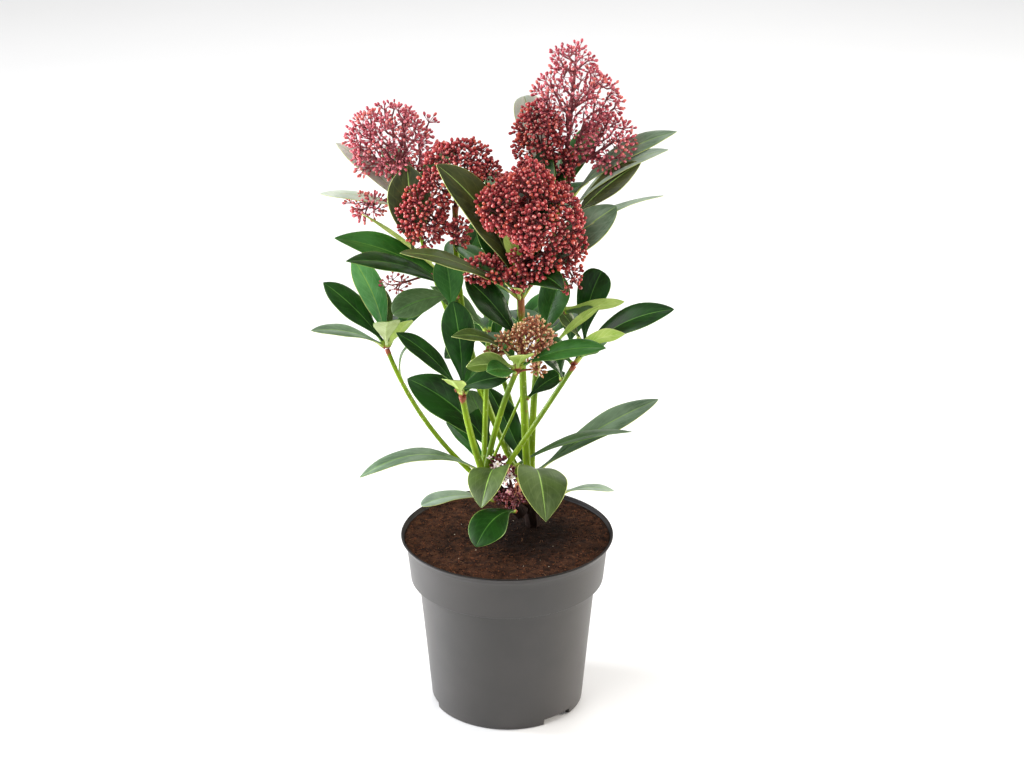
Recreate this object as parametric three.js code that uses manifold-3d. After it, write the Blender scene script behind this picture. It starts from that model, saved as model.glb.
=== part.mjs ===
// A skimmia, a small evergreen flowering shrub, in its round nursery pot.
//
// Millimetres, +Z up, X to the plant's right and Y to its back. The origin is the middle of the pot's
// flat underside. A short main stem forks just over the soil into upright stems. Each stem ends in a
// whorl of leaves, and the longest ones carry a panicle of closed buds above that whorl.
// Every whorl and every panicle is one closed solid, cut round the stems that run through it.

import * as THREE from 'three';
import { mergeVertices } from 'three/addons/utils/BufferGeometryUtils.js';
import Module from 'manifold-3d';

const wasm = await Module();
wasm.setup();

// ---------------------------------------------------------------------------------------------
// Driving dimensions
// ---------------------------------------------------------------------------------------------

const CLEARANCE = 0.6;

const POT = {
  height: 112,
  lipRadius: 65,
  lipHeight: 2.4,
  flareHeight: 3,
  bandTopRadius: 61.6,
  bandFootRadius: 59.3,
  bandHeight: 29,
  wallTopRadius: 54.1,
  stepHeight: 1.5,
  footRadius: 46.8,
  wall: 1.5,
  floor: 6,
  edge: 0.8,
  sides: 28,
};

// Three drain cut-outs round the foot.
const NOTCH = { count: 3, firstTurn: 72, width: 21, height: 4, depth: 8 };

const SOIL = {
  level: 109.2, dip: 1.3, rings: 3, waves: { across: 0.13, back: 0.11, ripple: 0.23, shift: 1 },
};

// The main stem: a foot cut flat at the soil, a waist, and a knobbly head where it forks.
// It stands behind the middle of the pot and leans to the front.
const MAIN_STEM = {
  path: [[16, 12, 103], [15, 8, 121], [10, 1, 141]],
  radii: [5.4, 4.8, 7.2],
};

const FORK = {
  path: [[9, -3, 126], [-2, -6, 139], [-12, -8, 151]],
  radii: [4.6, 3.6, 3.8],
};

// Each stem runs on a smooth curve through its foot, its middle and its tip, and tapers.
const STEMS = {
  stem_left: { path: [[-13, -6, 147], [-44, -5, 181], [-71, -2, 233]], radii: [1.7, 1.4] },
  stem_front_left: { path: [[-10, -11, 144], [-20, -24, 182], [-26, -34, 216]], radii: [2.4, 2.0] },
  stem_front: { path: [[-14, -12, 150], [-5, -21, 196], [6, -32, 232]], radii: [2.1, 1.8] },
  stem_mid_left: { path: [[-14, -3, 150], [-13, 6, 189], [-11, 8, 238]], radii: [2.0, 1.7] },
  stem_centre: { path: [[13, -4, 139], [10, -8, 205], [8, -14, 292]], radii: [2.7, 2.1] },
  stem_back_right: { path: [[15, 5, 138], [16, 13, 215], [33, 26, 326]], radii: [2.5, 1.8] },
  stem_right: { path: [[-7, -12, 151], [14, -20, 188], [39, -26, 232]], radii: [1.9, 1.6] },
  stem_upper_left: { path: [[10, 6, 140], [-19, 15, 215], [-30, 10, 318]], radii: [2.1, 1.7] },
  stem_back_left: { path: [[11, 11, 139], [-31, 27, 232], [-60, 32, 322]], radii: [2.0, 1.5] },
  stem_back: { path: [[14, 10, 139], [6, 30, 170], [-6, 44, 206]], radii: [2.1, 1.8] },
  stem_back_top: { path: [[16, 12, 139], [13, 34, 215], [9, 46, 300]], radii: [2.1, 1.8] },
  shoot_thin: { path: [[-12, -4, 154], [-2, -1, 177], [10, 3, 204]], radii: [1.2, 1.0] },
};

const STEM_FACES = { round: 6, along: 6 };

// How far a face may move when flat stretches are merged after the cuts.
const MERGE = 0.08;

// A leaf: the way its tip lies from the node (turn from +X about Z, rise from level), its length
// and full width, its roll about that line, and how far its back arches, as a share of its length.
const leaf = (turn, rise, length, width, roll = 0, arch = 0.07) => ({
  turn, rise, length, width, roll, arch,
});

// A fan's lower leaves: how much less they rise, and the share that they are shorter.
const FAN = { lowRise: 22, lowShare: 0.12, arch: 0.09 };

// Leaves spread evenly over a stretch of turn, long and steep by turns with short and low.
function fan(count, fromTurn, toTurn, rise, length, width) {
  return Array.from({ length: count }, (_, i) => {
    const turn = THREE.MathUtils.lerp(fromTurn, toTurn, (i + 0.5) / count);
    const low = i % 2;
    return leaf(turn, rise - FAN.lowRise * low, length * (1 - FAN.lowShare * low), width, 0, FAN.arch);
  });
}

const WHORLS = {
  leaves_left: {
    node: [-71, -2, 234],
    leaves: [
      leaf(142, 63, 57, 18, -15), leaf(168, 45, 54, 17, -30), leaf(190, 17, 47, 13, -10, 0.1),
      leaf(273, 42, 40, 15, 30), leaf(330, 50, 27, 14, -25), ...fan(2, 25, 90, 30, 44, 16),
    ],
  },
  leaves_front_left: {
    node: [-26, -34, 217],
    leaves: [
      leaf(122, 80, 56, 18, -15), leaf(165, 43, 53, 17, -20), leaf(254, 38, 30, 15, -5),
      leaf(2, 20, 34, 15, 60), leaf(72, 20, 30, 14), leaf(30, 34, 30, 13, 20),
    ],
  },
  leaves_front: {
    node: [6, -32, 233],
    leaves: [
      leaf(208, 12, 34, 16, 62), leaf(232, 20, 33, 13, -36), leaf(283, 36, 30, 15),
      leaf(344, 19, 56, 16, 30, 0.1), leaf(196, 36, 40, 12, -8, 0.14),
    ],
  },
  leaves_mid_left: {
    node: [-11, 8, 239],
    leaves: [
      leaf(232, 13, 30, 14, -20), leaf(158, 34, 44, 13, -25), ...fan(2, 75, 110, 34, 52, 17),
    ],
  },
  leaves_centre_low: {
    node: [9, -9, 238],
    leaves: [leaf(191, 53, 56, 19, -60), leaf(55, 35, 44, 17, 20)],
  },
  leaves_centre: {
    node: [8, -12, 268],
    leaves: [
      leaf(187, 60, 97, 22, -40), leaf(206, 28, 86, 19, -18), leaf(309, 21, 42, 17, 40, 0.16),
      leaf(18, 41, 78, 22, 34), leaf(22, 30, 105, 15, -15, 0.1), leaf(62, 58, 60, 19, 12),
      leaf(105, 55, 62, 19), leaf(150, 30, 52, 18),
    ],
  },
  leaves_right_low: {
    node: [21, 15, 229],
    leaves: [
      leaf(34, 50, 53, 20, 60), leaf(338, 48, 42, 14, -45), leaf(345, 34, 50, 15, -50),
      ...fan(3, 35, 125, 35, 60, 18),
    ],
  },
  leaves_right_top: {
    node: [31, 24, 312],
    leaves: [
      leaf(120, 68, 60, 20, -15), leaf(4, 32, 80, 18, 22, 0.1), leaf(350, 31, 72, 17, 40, 0.1),
      ...fan(3, 45, 130, 42, 62, 18),
    ],
  },
  leaves_right: {
    node: [39, -26, 233],
    leaves: [
      leaf(6, 27, 68, 20, 38), leaf(325, 38, 44, 16, -35), leaf(133, 10, 24, 14, -10),
      leaf(62, 8, 44, 15, 20), leaf(50, 12, 46, 16),
    ],
  },
  leaves_left_top: {
    node: [-29, 14, 264],
    leaves: [
      leaf(185, 27, 82, 20, -32, 0.1), leaf(209, 26, 79, 19, -22, 0.1), leaf(178, 60, 70, 22, -60),
      leaf(209, -12, 45, 17, -44, 0.12), leaf(120, 72, 36, 17, -40), ...fan(2, 60, 125, 40, 50, 17),
    ],
  },
  leaves_back_left_top: {
    node: [-56, 31, 306],
    leaves: [
      leaf(166, 41, 62, 17, -22), leaf(186, 15, 57, 15, 0, 0.08), ...fan(3, 40, 125, 34, 54, 17),
    ],
  },
  leaves_back: {
    node: [-6, 44, 207],
    leaves: [...fan(5, 10, 170, 42, 62, 18)],
  },
  leaves_back_top: {
    node: [9, 46, 290],
    leaves: [...fan(6, 0, 165, 34, 48, 18)],
  },
  leaves_base_left: {
    node: [-11, -6, 152],
    collar: 9,
    leaves: [
      leaf(152, 38, 78, 23, -27, 0.09), leaf(195, 6, 80, 17, -10, 0.16),
      leaf(198, -16, 44, 13, -10, 0.1), leaf(131, 29, 46, 13, -5),
    ],
  },
  leaves_base_low: {
    node: [-5, -17, 151],
    leaves: [leaf(260, 3, 43, 25, 0, 0.32)],
  },
  leaves_base_front: {
    node: [8, -5, 131],
    leaves: [leaf(232, -7, 46, 21, -24, 0.14)],
  },
  leaves_base_right: {
    node: [14, 2, 148],
    collar: 9,
    leaves: [
      leaf(18, 26, 90, 18, 20), leaf(6, 22, 68, 14, -10, 0.1), leaf(8, -12, 56, 10, 10, 0.1),
      leaf(274, -3, 59, 29, -2, 0.26), leaf(126, 45, 63, 19, -10), leaf(105, 5, 62, 18, 0, 0.12),
    ],
  },
};

const BLADE = { thickness: 2.6, round: 4, along: 4, stalkShare: 0.12, outward: 0.25 };

// The collar that joins a whorl's leaves: its usual radius, and the share of it at which their
// stalks begin.
const COLLAR = { radius: 6, stalkShare: 0.73 };

// A panicle or bud cluster is a union of uneven lobes: [x, y, z, half width, half depth, half height].
const PANICLES = {
  flowers_left_top: [[-68, 32, 350, 30, 26, 26], [-83, 28, 312, 14, 12, 11], [-60, 32, 327, 13, 11, 14]],
  flowers_left: [
    [-28, 7, 344, 22, 20, 20], [-48, 3, 317, 19, 18, 22], [-11, 6, 340, 12, 11, 13],
    [-28, 1, 304, 11, 10, 14],
  ],
  flowers_front: [
    [13, -19, 325, 32, 29, 34], [12, -18, 297, 24, 17, 18], [-10, -19, 292, 18, 16, 15],
    [32, -16, 301, 15, 14, 18], [37, -14, 281, 8, 8, 10],
  ],
  flowers_right: [
    [40, 27, 394, 18, 16, 20], [40, 27, 374, 28, 22, 23], [18, 21, 355, 17, 15, 21],
    [60, 25, 351, 19, 18, 20], [38, 26, 350, 18, 16, 20],
  ],
  flowers_back: [[9, 50, 312, 23, 20, 17], [-8, 47, 303, 12, 11, 12], [25, 48, 304, 12, 11, 12]],
  flowers_small: [[13, -31, 249, 14, 11, 15], [-4, -34, 249, 9, 6, 7]],
  flowers_base: [[3, -17, 150, 9, 7, 11]],
};

const LOBE = { detail: 1, unevenness: 0.1, bumps: { across: 5, back: 4, up: 5, shift: 2 } };

const FINISH = {
  pot: { color: 0x56565a, roughness: 0.5, metalness: 0 },
  soil: { color: 0x2c1712, roughness: 0.95, metalness: 0 },
  bark: { color: 0x8a5a3a, roughness: 0.7, metalness: 0 },
  stem: { color: 0x8fae2c, roughness: 0.45, metalness: 0 },
  leaf: { color: 0x23512b, roughness: 0.35, metalness: 0 },
  bud: { color: 0xa13345, roughness: 0.55, metalness: 0 },
  withered: { color: 0x9a5f48, roughness: 0.7, metalness: 0 },
};

// ---------------------------------------------------------------------------------------------
// Solids
// ---------------------------------------------------------------------------------------------

const vector = ([x, y, z]) => new THREE.Vector3(x, y, z);
const radians = THREE.MathUtils.degToRad;

// A closed geometry as a solid that can be joined and cut.
function solid(geometry) {
  const bare = new THREE.BufferGeometry();
  bare.setAttribute('position', geometry.getAttribute('position'));
  bare.setIndex(geometry.getIndex());
  const merged = mergeVertices(bare, 1e-3);
  return new wasm.Manifold(new wasm.Mesh({
    numProp: 3,
    vertProperties: new Float32Array(merged.getAttribute('position').array),
    triVerts: new Uint32Array(merged.getIndex().array),
  }));
}

// The biggest single body of a solid, as a geometry.
function mainBody(body) {
  const pieces = body.simplify(MERGE).decompose();
  const biggest = pieces.reduce((a, b) => (b.volume() > a.volume() ? b : a));
  const mesh = biggest.getMesh();
  const geometry = new THREE.BufferGeometry();
  geometry.setAttribute('position', new THREE.BufferAttribute(new Float32Array(mesh.vertProperties), 3));
  geometry.setIndex(new THREE.BufferAttribute(new Uint32Array(mesh.triVerts), 1));
  const faceted = geometry.toNonIndexed();
  faceted.computeVertexNormals();
  return faceted;
}

// Moves each point of a geometry to place(point).
function reshape(geometry, place) {
  const positions = geometry.getAttribute('position');
  const point = new THREE.Vector3();
  for (let i = 0; i < positions.count; i += 1) {
    point.fromBufferAttribute(positions, i);
    place(point);
    positions.setXYZ(i, point.x, point.y, point.z);
  }
  return geometry;
}

// The radius at a share t of the way along, from radii that stand at even steps.
function radiusAt(radii, t) {
  const step = Math.min(Math.floor(t * (radii.length - 1)), radii.length - 2);
  return THREE.MathUtils.lerp(radii[step], radii[step + 1], t * (radii.length - 1) - step);
}

// A tapering limb: a cylinder bent along a curve. grow makes it fatter and longer all round.
function limb({ path, radii }, grow = 0) {
  const curve = new THREE.CatmullRomCurve3(path.map(vector));
  const geometry = new THREE.CylinderGeometry(1, 1, 1, STEM_FACES.round, STEM_FACES.along);
  const across = new THREE.Vector3();
  const over = new THREE.Vector3();
  return solid(reshape(geometry, (point) => {
    const t = THREE.MathUtils.clamp(point.y + 0.5, 0, 1);
    const along = curve.getTangent(t);
    const ends = t === 0 ? -grow : Math.floor(t) * grow;
    const radius = radiusAt(radii, t) + grow;
    over.crossVectors(along, new THREE.Vector3(0, 1, 0)).normalize();
    across.crossVectors(over, along);
    const [side, lift] = [point.x * radius, point.z * radius];
    point.copy(curve.getPoint(t)).addScaledVector(along, ends);
    point.addScaledVector(over, side).addScaledVector(across, lift);
  }));
}

// The share of a leaf's full width at a share t of its length: a narrow stalk, then widest past
// the middle, then a blunt tip.
const bladeWidth = (t) => Math.max(Math.sin(Math.PI * t ** 1.15) ** 0.75, BLADE.stalkShare);

// A leaf as a thin closed blade with a lozenge section: a cone whose rings are spread to the
// leaf's outline, closer together towards the tip.
function blade(node, start, { turn, rise, length, width, roll, arch }, grow) {
  const [a, r, s] = [turn, rise, roll].map(radians);
  const chord = new THREE.Vector3(Math.cos(r) * Math.cos(a), Math.cos(r) * Math.sin(a), Math.sin(r));
  const level = new THREE.Vector3(-Math.sin(a), Math.cos(a), 0);
  const back = new THREE.Vector3().crossVectors(chord, level);
  const across = level.clone().multiplyScalar(Math.cos(s)).addScaledVector(back, Math.sin(s));
  const face = new THREE.Vector3().crossVectors(across, chord);
  const geometry = new THREE.ConeGeometry(1, 1, BLADE.round, BLADE.along);
  return solid(reshape(geometry, (point) => {
    const step = THREE.MathUtils.clamp(point.y + 0.5, 0, 1);
    const t = step * (1 + BLADE.outward * (1 - step));
    const spread = 1 / Math.max(1 - step, 1e-6);
    const side = point.x * spread * ((width / 2) * bladeWidth(t) + grow);
    const lift = point.z * spread * (BLADE.thickness / 2 + grow);
    const reach = THREE.MathUtils.lerp(start, length + grow, t);
    point.copy(node).addScaledVector(chord, reach);
    point.addScaledVector(back, arch * length * 4 * t * (1 - t));
    point.addScaledVector(across, side).addScaledVector(face, lift);
  }));
}

// A whorl: its blades, joined by a collar round the node.
function whorl({ node, leaves, collar = COLLAR.radius }, grow = 0) {
  const centre = vector(node);
  const start = collar * COLLAR.stalkShare;
  const ring = new THREE.IcosahedronGeometry(collar + grow, 0);
  ring.translate(centre.x, centre.y, centre.z);
  return leaves.reduce((body, each) => body.add(blade(centre, start, each, grow)), solid(ring));
}

// A panicle: lobes with uneven faces, joined.
function panicle(lobes, grow = 0) {
  const { across, back, up, shift } = LOBE.bumps;
  const parts = lobes.map(([x, y, z, wide, deep, high], index) => {
    const geometry = new THREE.IcosahedronGeometry(1, LOBE.detail);
    return solid(reshape(geometry, (point) => {
      const bumps = Math.sin(across * point.x + shift * index) * Math.sin(back * point.y + index);
      const swell = 1 + LOBE.unevenness * bumps * Math.cos(up * point.z);
      point.multiplyScalar(swell);
      point.set(x + point.x * (wide + grow), y + point.y * (deep + grow), z + point.z * (high + grow));
    }));
  });
  return parts.reduce((body, each) => body.add(each));
}

// A closed body turned about Z from its outline of radius and height.
function turnedBody(outline) {
  const points = outline.map(([radius, height]) => new THREE.Vector2(radius, height));
  return new THREE.LatheGeometry(points, POT.sides).rotateX(Math.PI / 2);
}

// The heights of the pot's step, under its band, and of the foot of its flare, over the band.
const STEP = POT.height - POT.bandHeight;
const FLARE = POT.height - POT.lipHeight - POT.flareHeight;

// The pot: a turned shell with a flared lip, a band and a tapering wall, less its drain cut-outs.
function pot() {
  const { height, wall, edge } = POT;
  const outside = [
    [0, 0], [POT.footRadius, 0], [POT.wallTopRadius, STEP - POT.stepHeight],
    [POT.bandFootRadius, STEP], [POT.bandTopRadius, FLARE],
    [POT.lipRadius - edge, height - POT.lipHeight], [POT.lipRadius, height - edge],
    [POT.lipRadius - edge, height],
  ];
  const inside = [
    [POT.lipRadius - edge - wall, height], [POT.lipRadius - edge - wall, height - POT.lipHeight],
    [POT.bandTopRadius - wall, FLARE - edge], [POT.bandFootRadius - wall, STEP + wall],
    [POT.wallTopRadius - wall, STEP - POT.stepHeight + wall], [POT.footRadius - wall, POT.floor],
    [0, POT.floor],
  ];
  let body = solid(turnedBody([...outside, ...inside]));
  for (let i = 0; i < NOTCH.count; i += 1) {
    const block = new THREE.BoxGeometry(2 * NOTCH.depth, NOTCH.width, 2 * NOTCH.height);
    block.translate(POT.footRadius, 0, 0);
    block.rotateZ(radians(NOTCH.firstTurn + (i * 360) / NOTCH.count));
    body = body.subtract(solid(block));
  }
  return body;
}

// The soil: it fills the pot, and its top is slightly uneven and never over its level.
function soil() {
  const gap = POT.wall + CLEARANCE;
  const topRadius = POT.lipRadius - POT.wall - gap;
  const outline = [
    [0, POT.floor + CLEARANCE], [POT.footRadius - gap, POT.floor + CLEARANCE],
    [POT.wallTopRadius - gap, STEP - POT.stepHeight + gap],
    [POT.bandFootRadius - gap, STEP + gap], [POT.bandTopRadius - gap, FLARE - POT.edge],
  ];
  for (let ring = 0; ring <= SOIL.rings; ring += 1) {
    outline.push([topRadius * (1 - ring / SOIL.rings), SOIL.level]);
  }
  const { across, back, ripple, shift } = SOIL.waves;
  return solid(reshape(turnedBody(outline), (point) => {
    if (point.z < SOIL.level - POT.edge) {
      return;
    }
    const furrows = Math.sin(point.x * across + shift) * Math.cos(point.y * back);
    const waves = furrows + Math.sin(point.y * ripple - shift);
    point.z -= SOIL.dip * THREE.MathUtils.inverseLerp(-2, 2, waves);
  }));
}

// ---------------------------------------------------------------------------------------------
// Assembly
// ---------------------------------------------------------------------------------------------

const group = new THREE.Group();
let taken = null;

// Adds a named mesh, cut clear of everything that is there already.
function place(name, body, grown, finish) {
  const free = taken ? body.subtract(taken) : body;
  const mesh = new THREE.Mesh(mainBody(free), new THREE.MeshStandardMaterial(FINISH[finish]));
  mesh.name = name;
  group.add(mesh);
  if (grown) {
    taken = taken ? taken.add(grown) : grown;
  }
}

place('pot', pot(), null, 'pot');
place('soil', soil(), null, 'soil');
const groundCut = [[0, 0, 1], SOIL.level + CLEARANCE];
place('main_stem', limb(MAIN_STEM).trimByPlane(...groundCut), limb(MAIN_STEM, CLEARANCE), 'bark');
place('fork', limb(FORK), limb(FORK, CLEARANCE), 'bark');
for (const [name, stem] of Object.entries(STEMS)) {
  place(name, limb(stem), limb(stem, CLEARANCE), 'stem');
}
for (const [name, each] of Object.entries(WHORLS)) {
  place(name, whorl(each), whorl(each, CLEARANCE), 'leaf');
}
for (const [name, lobes] of Object.entries(PANICLES)) {
  const finish = name === 'flowers_small' ? 'withered' : 'bud';
  place(name, panicle(lobes), panicle(lobes, CLEARANCE), finish);
}

export default group;
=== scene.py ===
"""A young skimmia with closed red buds, in its grey nursery pot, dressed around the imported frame.

The frame is in metres, +Z up, with X to the plant's right and Y to its back. The tables below are in
millimetres, as a grower would measure them, and MM turns them into metres.
"""

import logging
import math
import random
from contextlib import contextmanager
from dataclasses import dataclass, field
from enum import IntEnum
from functools import cache
from typing import Any, Callable, Iterator

import bmesh
import bpy
import numpy as np
from mathutils import Matrix, Vector, noise


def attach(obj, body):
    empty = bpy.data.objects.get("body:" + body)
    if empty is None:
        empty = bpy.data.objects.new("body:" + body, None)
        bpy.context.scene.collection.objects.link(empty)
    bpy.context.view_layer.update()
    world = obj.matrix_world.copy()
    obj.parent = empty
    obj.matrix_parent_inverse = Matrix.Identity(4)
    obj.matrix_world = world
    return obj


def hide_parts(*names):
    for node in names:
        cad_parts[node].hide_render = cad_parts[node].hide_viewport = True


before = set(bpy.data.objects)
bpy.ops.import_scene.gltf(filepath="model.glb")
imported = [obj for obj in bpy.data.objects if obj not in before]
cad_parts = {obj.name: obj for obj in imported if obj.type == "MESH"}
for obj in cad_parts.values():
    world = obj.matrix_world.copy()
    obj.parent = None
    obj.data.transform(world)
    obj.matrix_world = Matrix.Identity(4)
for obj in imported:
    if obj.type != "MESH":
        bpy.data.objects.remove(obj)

LOG = logging.getLogger("skimmia")
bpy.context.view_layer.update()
MM = 0.001
BODY = "root"
FULL_TURN = 2 * math.pi

Point = tuple[float, float, float]
Pair = tuple[float, float]
Check = Callable[[Vector], bool]


# ---------------- Shader trees ----------------


def tone(code: str) -> tuple[float, ...]:
    """Turns a colour of six hex digits into the linear values that shaders take, with an alpha of 1."""
    parts = [int(code[i : i + 2], 16) / 255 for i in (0, 2, 4)]
    linear = [p / 12.92 if p <= 0.04045 else ((p + 0.055) / 1.055) ** 2.4 for p in parts]
    return (*linear, 1.0)


class Signal:
    """A value socket that takes Python's arithmetic: each operator adds its Math node."""

    def __init__(self, bench: "Bench", socket: bpy.types.NodeSocket) -> None:
        """Keeps the socket and the bench that it is on."""
        self.bench = bench
        self.socket = socket

    def maths(self, operation: str, other: Any = 0.0, clamp: bool = False) -> "Signal":
        """Adds a Math node to self and other, and keeps its result from 0 to 1 if clamp is set."""
        settings = {"operation": operation, "use_clamp": clamp}
        return self.bench.signal("ShaderNodeMath", settings, {0: self, 1: other})

    def __add__(self, other: Any) -> "Signal":
        """self + other."""
        return self.maths("ADD", other)

    def __mul__(self, other: Any) -> "Signal":
        """self * other."""
        return self.maths("MULTIPLY", other)

    def __sub__(self, other: Any) -> "Signal":
        """self - other."""
        return self.maths("SUBTRACT", other)

    def __abs__(self) -> "Signal":
        """The size of self."""
        return self.maths("ABSOLUTE")

    def part(self) -> "Signal":
        """What is left of self past its last whole number."""
        return self.maths("FRACT")

    def held(self) -> "Signal":
        """self, kept from 0 to 1."""
        return self.maths("ADD", clamp=True)


class Bench:
    """One material's node tree, in which every node comes from node()."""

    def __init__(self, name: str) -> None:
        """Starts an empty tree for a new material."""
        self.material = bpy.data.materials.new(name)
        self.material.use_nodes = True
        self.tree = self.material.node_tree
        self.tree.nodes.clear()

    def node(self, kind: str, settings: dict[str, Any], sockets: dict[Any, Any]) -> bpy.types.Node:
        """Adds a node.

        Args:
            kind: The node's type.
            settings: Its settings, such as an operation.
            sockets: A value or a signal for each of its inputs, by name or number.

        Returns:
            The new node.
        """
        made = self.tree.nodes.new(kind)
        for name, value in settings.items():
            setattr(made, name, value)
        for key, value in sockets.items():
            if isinstance(value, Signal):
                self.tree.links.new(value.socket, made.inputs[key])
            else:
                made.inputs[key].default_value = value
        return made

    def signal(self, kind: str, settings: dict, sockets: dict, output: Any = 0) -> Signal:
        """Adds a node and gives one of its outputs as a signal."""
        return Signal(self, self.node(kind, settings, sockets).outputs[output])

    def place(self, space: str = "Object") -> Signal:
        """The place of a point in the frame, in metres, or with UV as the space, on the piece's own map."""
        return self.signal("ShaderNodeTexCoord", {}, {}, space)

    def on_map(self, axis: int) -> Signal:
        """The place on the piece's own map: axis 0 is across and axis 1 is along."""
        return self.signal("ShaderNodeSeparateXYZ", {}, {0: self.place("UV")}, axis)

    def mapped(self, stretch: Point, space: str = "Object") -> Signal:
        """The place of a point, with a factor on each axis."""
        return self.signal("ShaderNodeMapping", {}, {"Vector": self.place(space), "Scale": stretch})

    def grain(
        self,
        scale: float,
        detail: float = 3.0,
        roughness: float = 0.55,
        stretch: Point = (1, 1, 1),
        space: str = "Object",
    ) -> Signal:
        """Noise.

        Args:
            scale: Features for each metre.
            detail: How many finer layers it has.
            roughness: How strong the finer layers are.
            stretch: A factor on each axis.
            space: The coordinates that it lies in, Object or UV.

        Returns:
            A signal from 0 to 1.
        """
        place = self.mapped(stretch, space)
        sockets = {"Vector": place, "Scale": scale, "Detail": detail, "Roughness": roughness}
        return self.signal("ShaderNodeTexNoise", {}, sockets)

    def ramp(self, factor: Signal, low: float, high: float) -> Signal:
        """A signal that runs from 0 to 1 as factor goes from low to high."""
        sockets = {"Value": factor, "From Min": low, "From Max": high}
        return self.signal("ShaderNodeMapRange", {"interpolation_type": "SMOOTHSTEP"}, sockets)

    def mix(self, factor: Any, first: Any, second: Any) -> Signal:
        """The colour that goes from first to second as factor goes from 0 to 1."""
        return self.signal("ShaderNodeMix", {"data_type": "RGBA"}, {0: factor, 6: first, 7: second}, 2)

    def relief(self, height: Signal, depth: float) -> Signal:
        """A normal that follows a height signal, with its depth in metres."""
        sockets = {"Strength": 1.0, "Distance": depth, "Height": height}
        return self.signal("ShaderNodeBump", {}, sockets, "Normal")

    def finish(self, sockets: dict[str, Any]) -> bpy.types.Material:
        """Ends the tree in one Principled shader and gives the material."""
        shader = self.signal("ShaderNodeBsdfPrincipled", {}, sockets)
        self.node("ShaderNodeOutputMaterial", {}, {"Surface": shader})
        return self.material


# ---------------- Finishes ----------------


@dataclass(frozen=True)
class Finish:
    """A surface whose colour drifts between two tones, with a fine relief and an uneven gloss."""

    name: str
    dark: str
    light: str
    drift: float = 60.0
    roughness: float = 0.5
    unevenness: float = 0.12
    grain: float = 900.0
    depth: float = 0.1
    shine: float = 0.3
    stretch: Point = (1.0, 1.0, 1.0)
    contrast: Pair = (0.35, 0.65)

    def colour(self, bench: Bench) -> Signal:
        """The base colour: two tones that drift into each other."""
        drift = bench.ramp(bench.grain(self.drift, 4.0, 0.6, self.stretch), *self.contrast)
        return bench.mix(drift, tone(self.dark), tone(self.light))

    def height(self, bench: Bench) -> Signal:
        """The relief: an even fine grain."""
        return bench.grain(self.grain, 2.0, 0.5, self.stretch)

    @cache
    def made(self) -> bpy.types.Material:
        """Builds the material, once for all the pieces that share it."""
        bench = Bench(self.name)
        gloss = bench.grain(self.drift * 3, 2.0) * self.unevenness + (self.roughness - self.unevenness / 2)
        sockets: dict[str, Any] = {
            "Base Color": self.colour(bench),
            "Roughness": gloss,
            "Normal": bench.relief(self.height(bench), self.depth * MM),
            "Specular IOR Level": self.shine,
        }
        return bench.finish(sockets)


@dataclass(frozen=True)
class BladeFinish(Finish):
    """A side of a leaf: side veins run out and forward from the midrib, and the colour pales along them."""

    vein: str = "5f8f52"
    veins: float = 9.0
    slant: float = 2.2
    vein_edge: Pair = (0.13, 0.02)
    vein_strength: float = 0.16
    # Fine pale streaks along the blade: painted highlights.
    highlight_streaks: Point = (26.0, 1.6, 1.0)
    highlight_streak_edge: Pair = (0.48, 0.72)
    highlight_streak_strength: float = 0.3

    def _veins(self, bench: Bench) -> Signal:
        """A line of 1 along each side vein, on the leaf's own map."""
        side = abs(bench.on_map(0) - 0.5) * 2.0
        along = bench.on_map(1) * self.veins - side * self.slant
        return bench.ramp(abs(along.part() - 0.5), *self.vein_edge)

    def _highlight_streaks(self, bench: Bench) -> Signal:
        """Painted highlights: fine pale streaks that run along the leaf, on its own map."""
        return bench.ramp(bench.grain(1.0, 2.0, 0.5, self.highlight_streaks, "UV"), *self.highlight_streak_edge)

    def colour(self, bench: Bench) -> Signal:
        """The two tones, with the veins a little paler and fine pale streaks of painted highlight."""
        pale = self._veins(bench) * self.vein_strength + self._highlight_streaks(bench) * self.highlight_streak_strength
        return bench.mix(pale.held(), super().colour(bench), tone(self.vein))

    def height(self, bench: Bench) -> Signal:
        """The veins sink a little, and the skin between them is finely quilted."""
        return bench.grain(self.grain, 2.0) * 0.5 - self._veins(bench) * 0.3


@dataclass(frozen=True)
class StemFinish(Finish):
    """Young bark: yellow-green with pale specks, turning red-brown where the stem is marked ripe."""

    ripe: str = "8c4a34"
    speck: str = "dfe5a0"
    speck_scale: float = 420.0
    speck_edge: Pair = (0.2, 0.1)
    speck_strength: float = 0.28

    def _specks(self, bench: Bench) -> Signal:
        """Small raised dots, far apart."""
        sockets = {"Vector": bench.mapped((1.0, 1.0, 0.6)), "Scale": self.speck_scale}
        return bench.ramp(bench.signal("ShaderNodeTexVoronoi", {}, sockets, "Distance"), *self.speck_edge)

    def colour(self, bench: Bench) -> Signal:
        """Green with specks, then the ripe tone by the stem's own attribute."""
        ripe = bench.signal("ShaderNodeAttribute", {"attribute_name": "ripe"}, {}, "Fac")
        specks = self._specks(bench) * self.speck_strength
        green = bench.mix(specks, super().colour(bench), tone(self.speck))
        worn = bench.ramp(ripe + bench.grain(500.0) * 0.3, 0.3, 0.9)
        return bench.mix(worn, green, tone(self.ripe))

    def height(self, bench: Bench) -> Signal:
        """Fine grain along the stem, and the specks stand up."""
        return bench.grain(self.grain, 2.0, 0.5, (1.0, 1.0, 0.2)) + self._specks(bench) * 0.5


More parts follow.
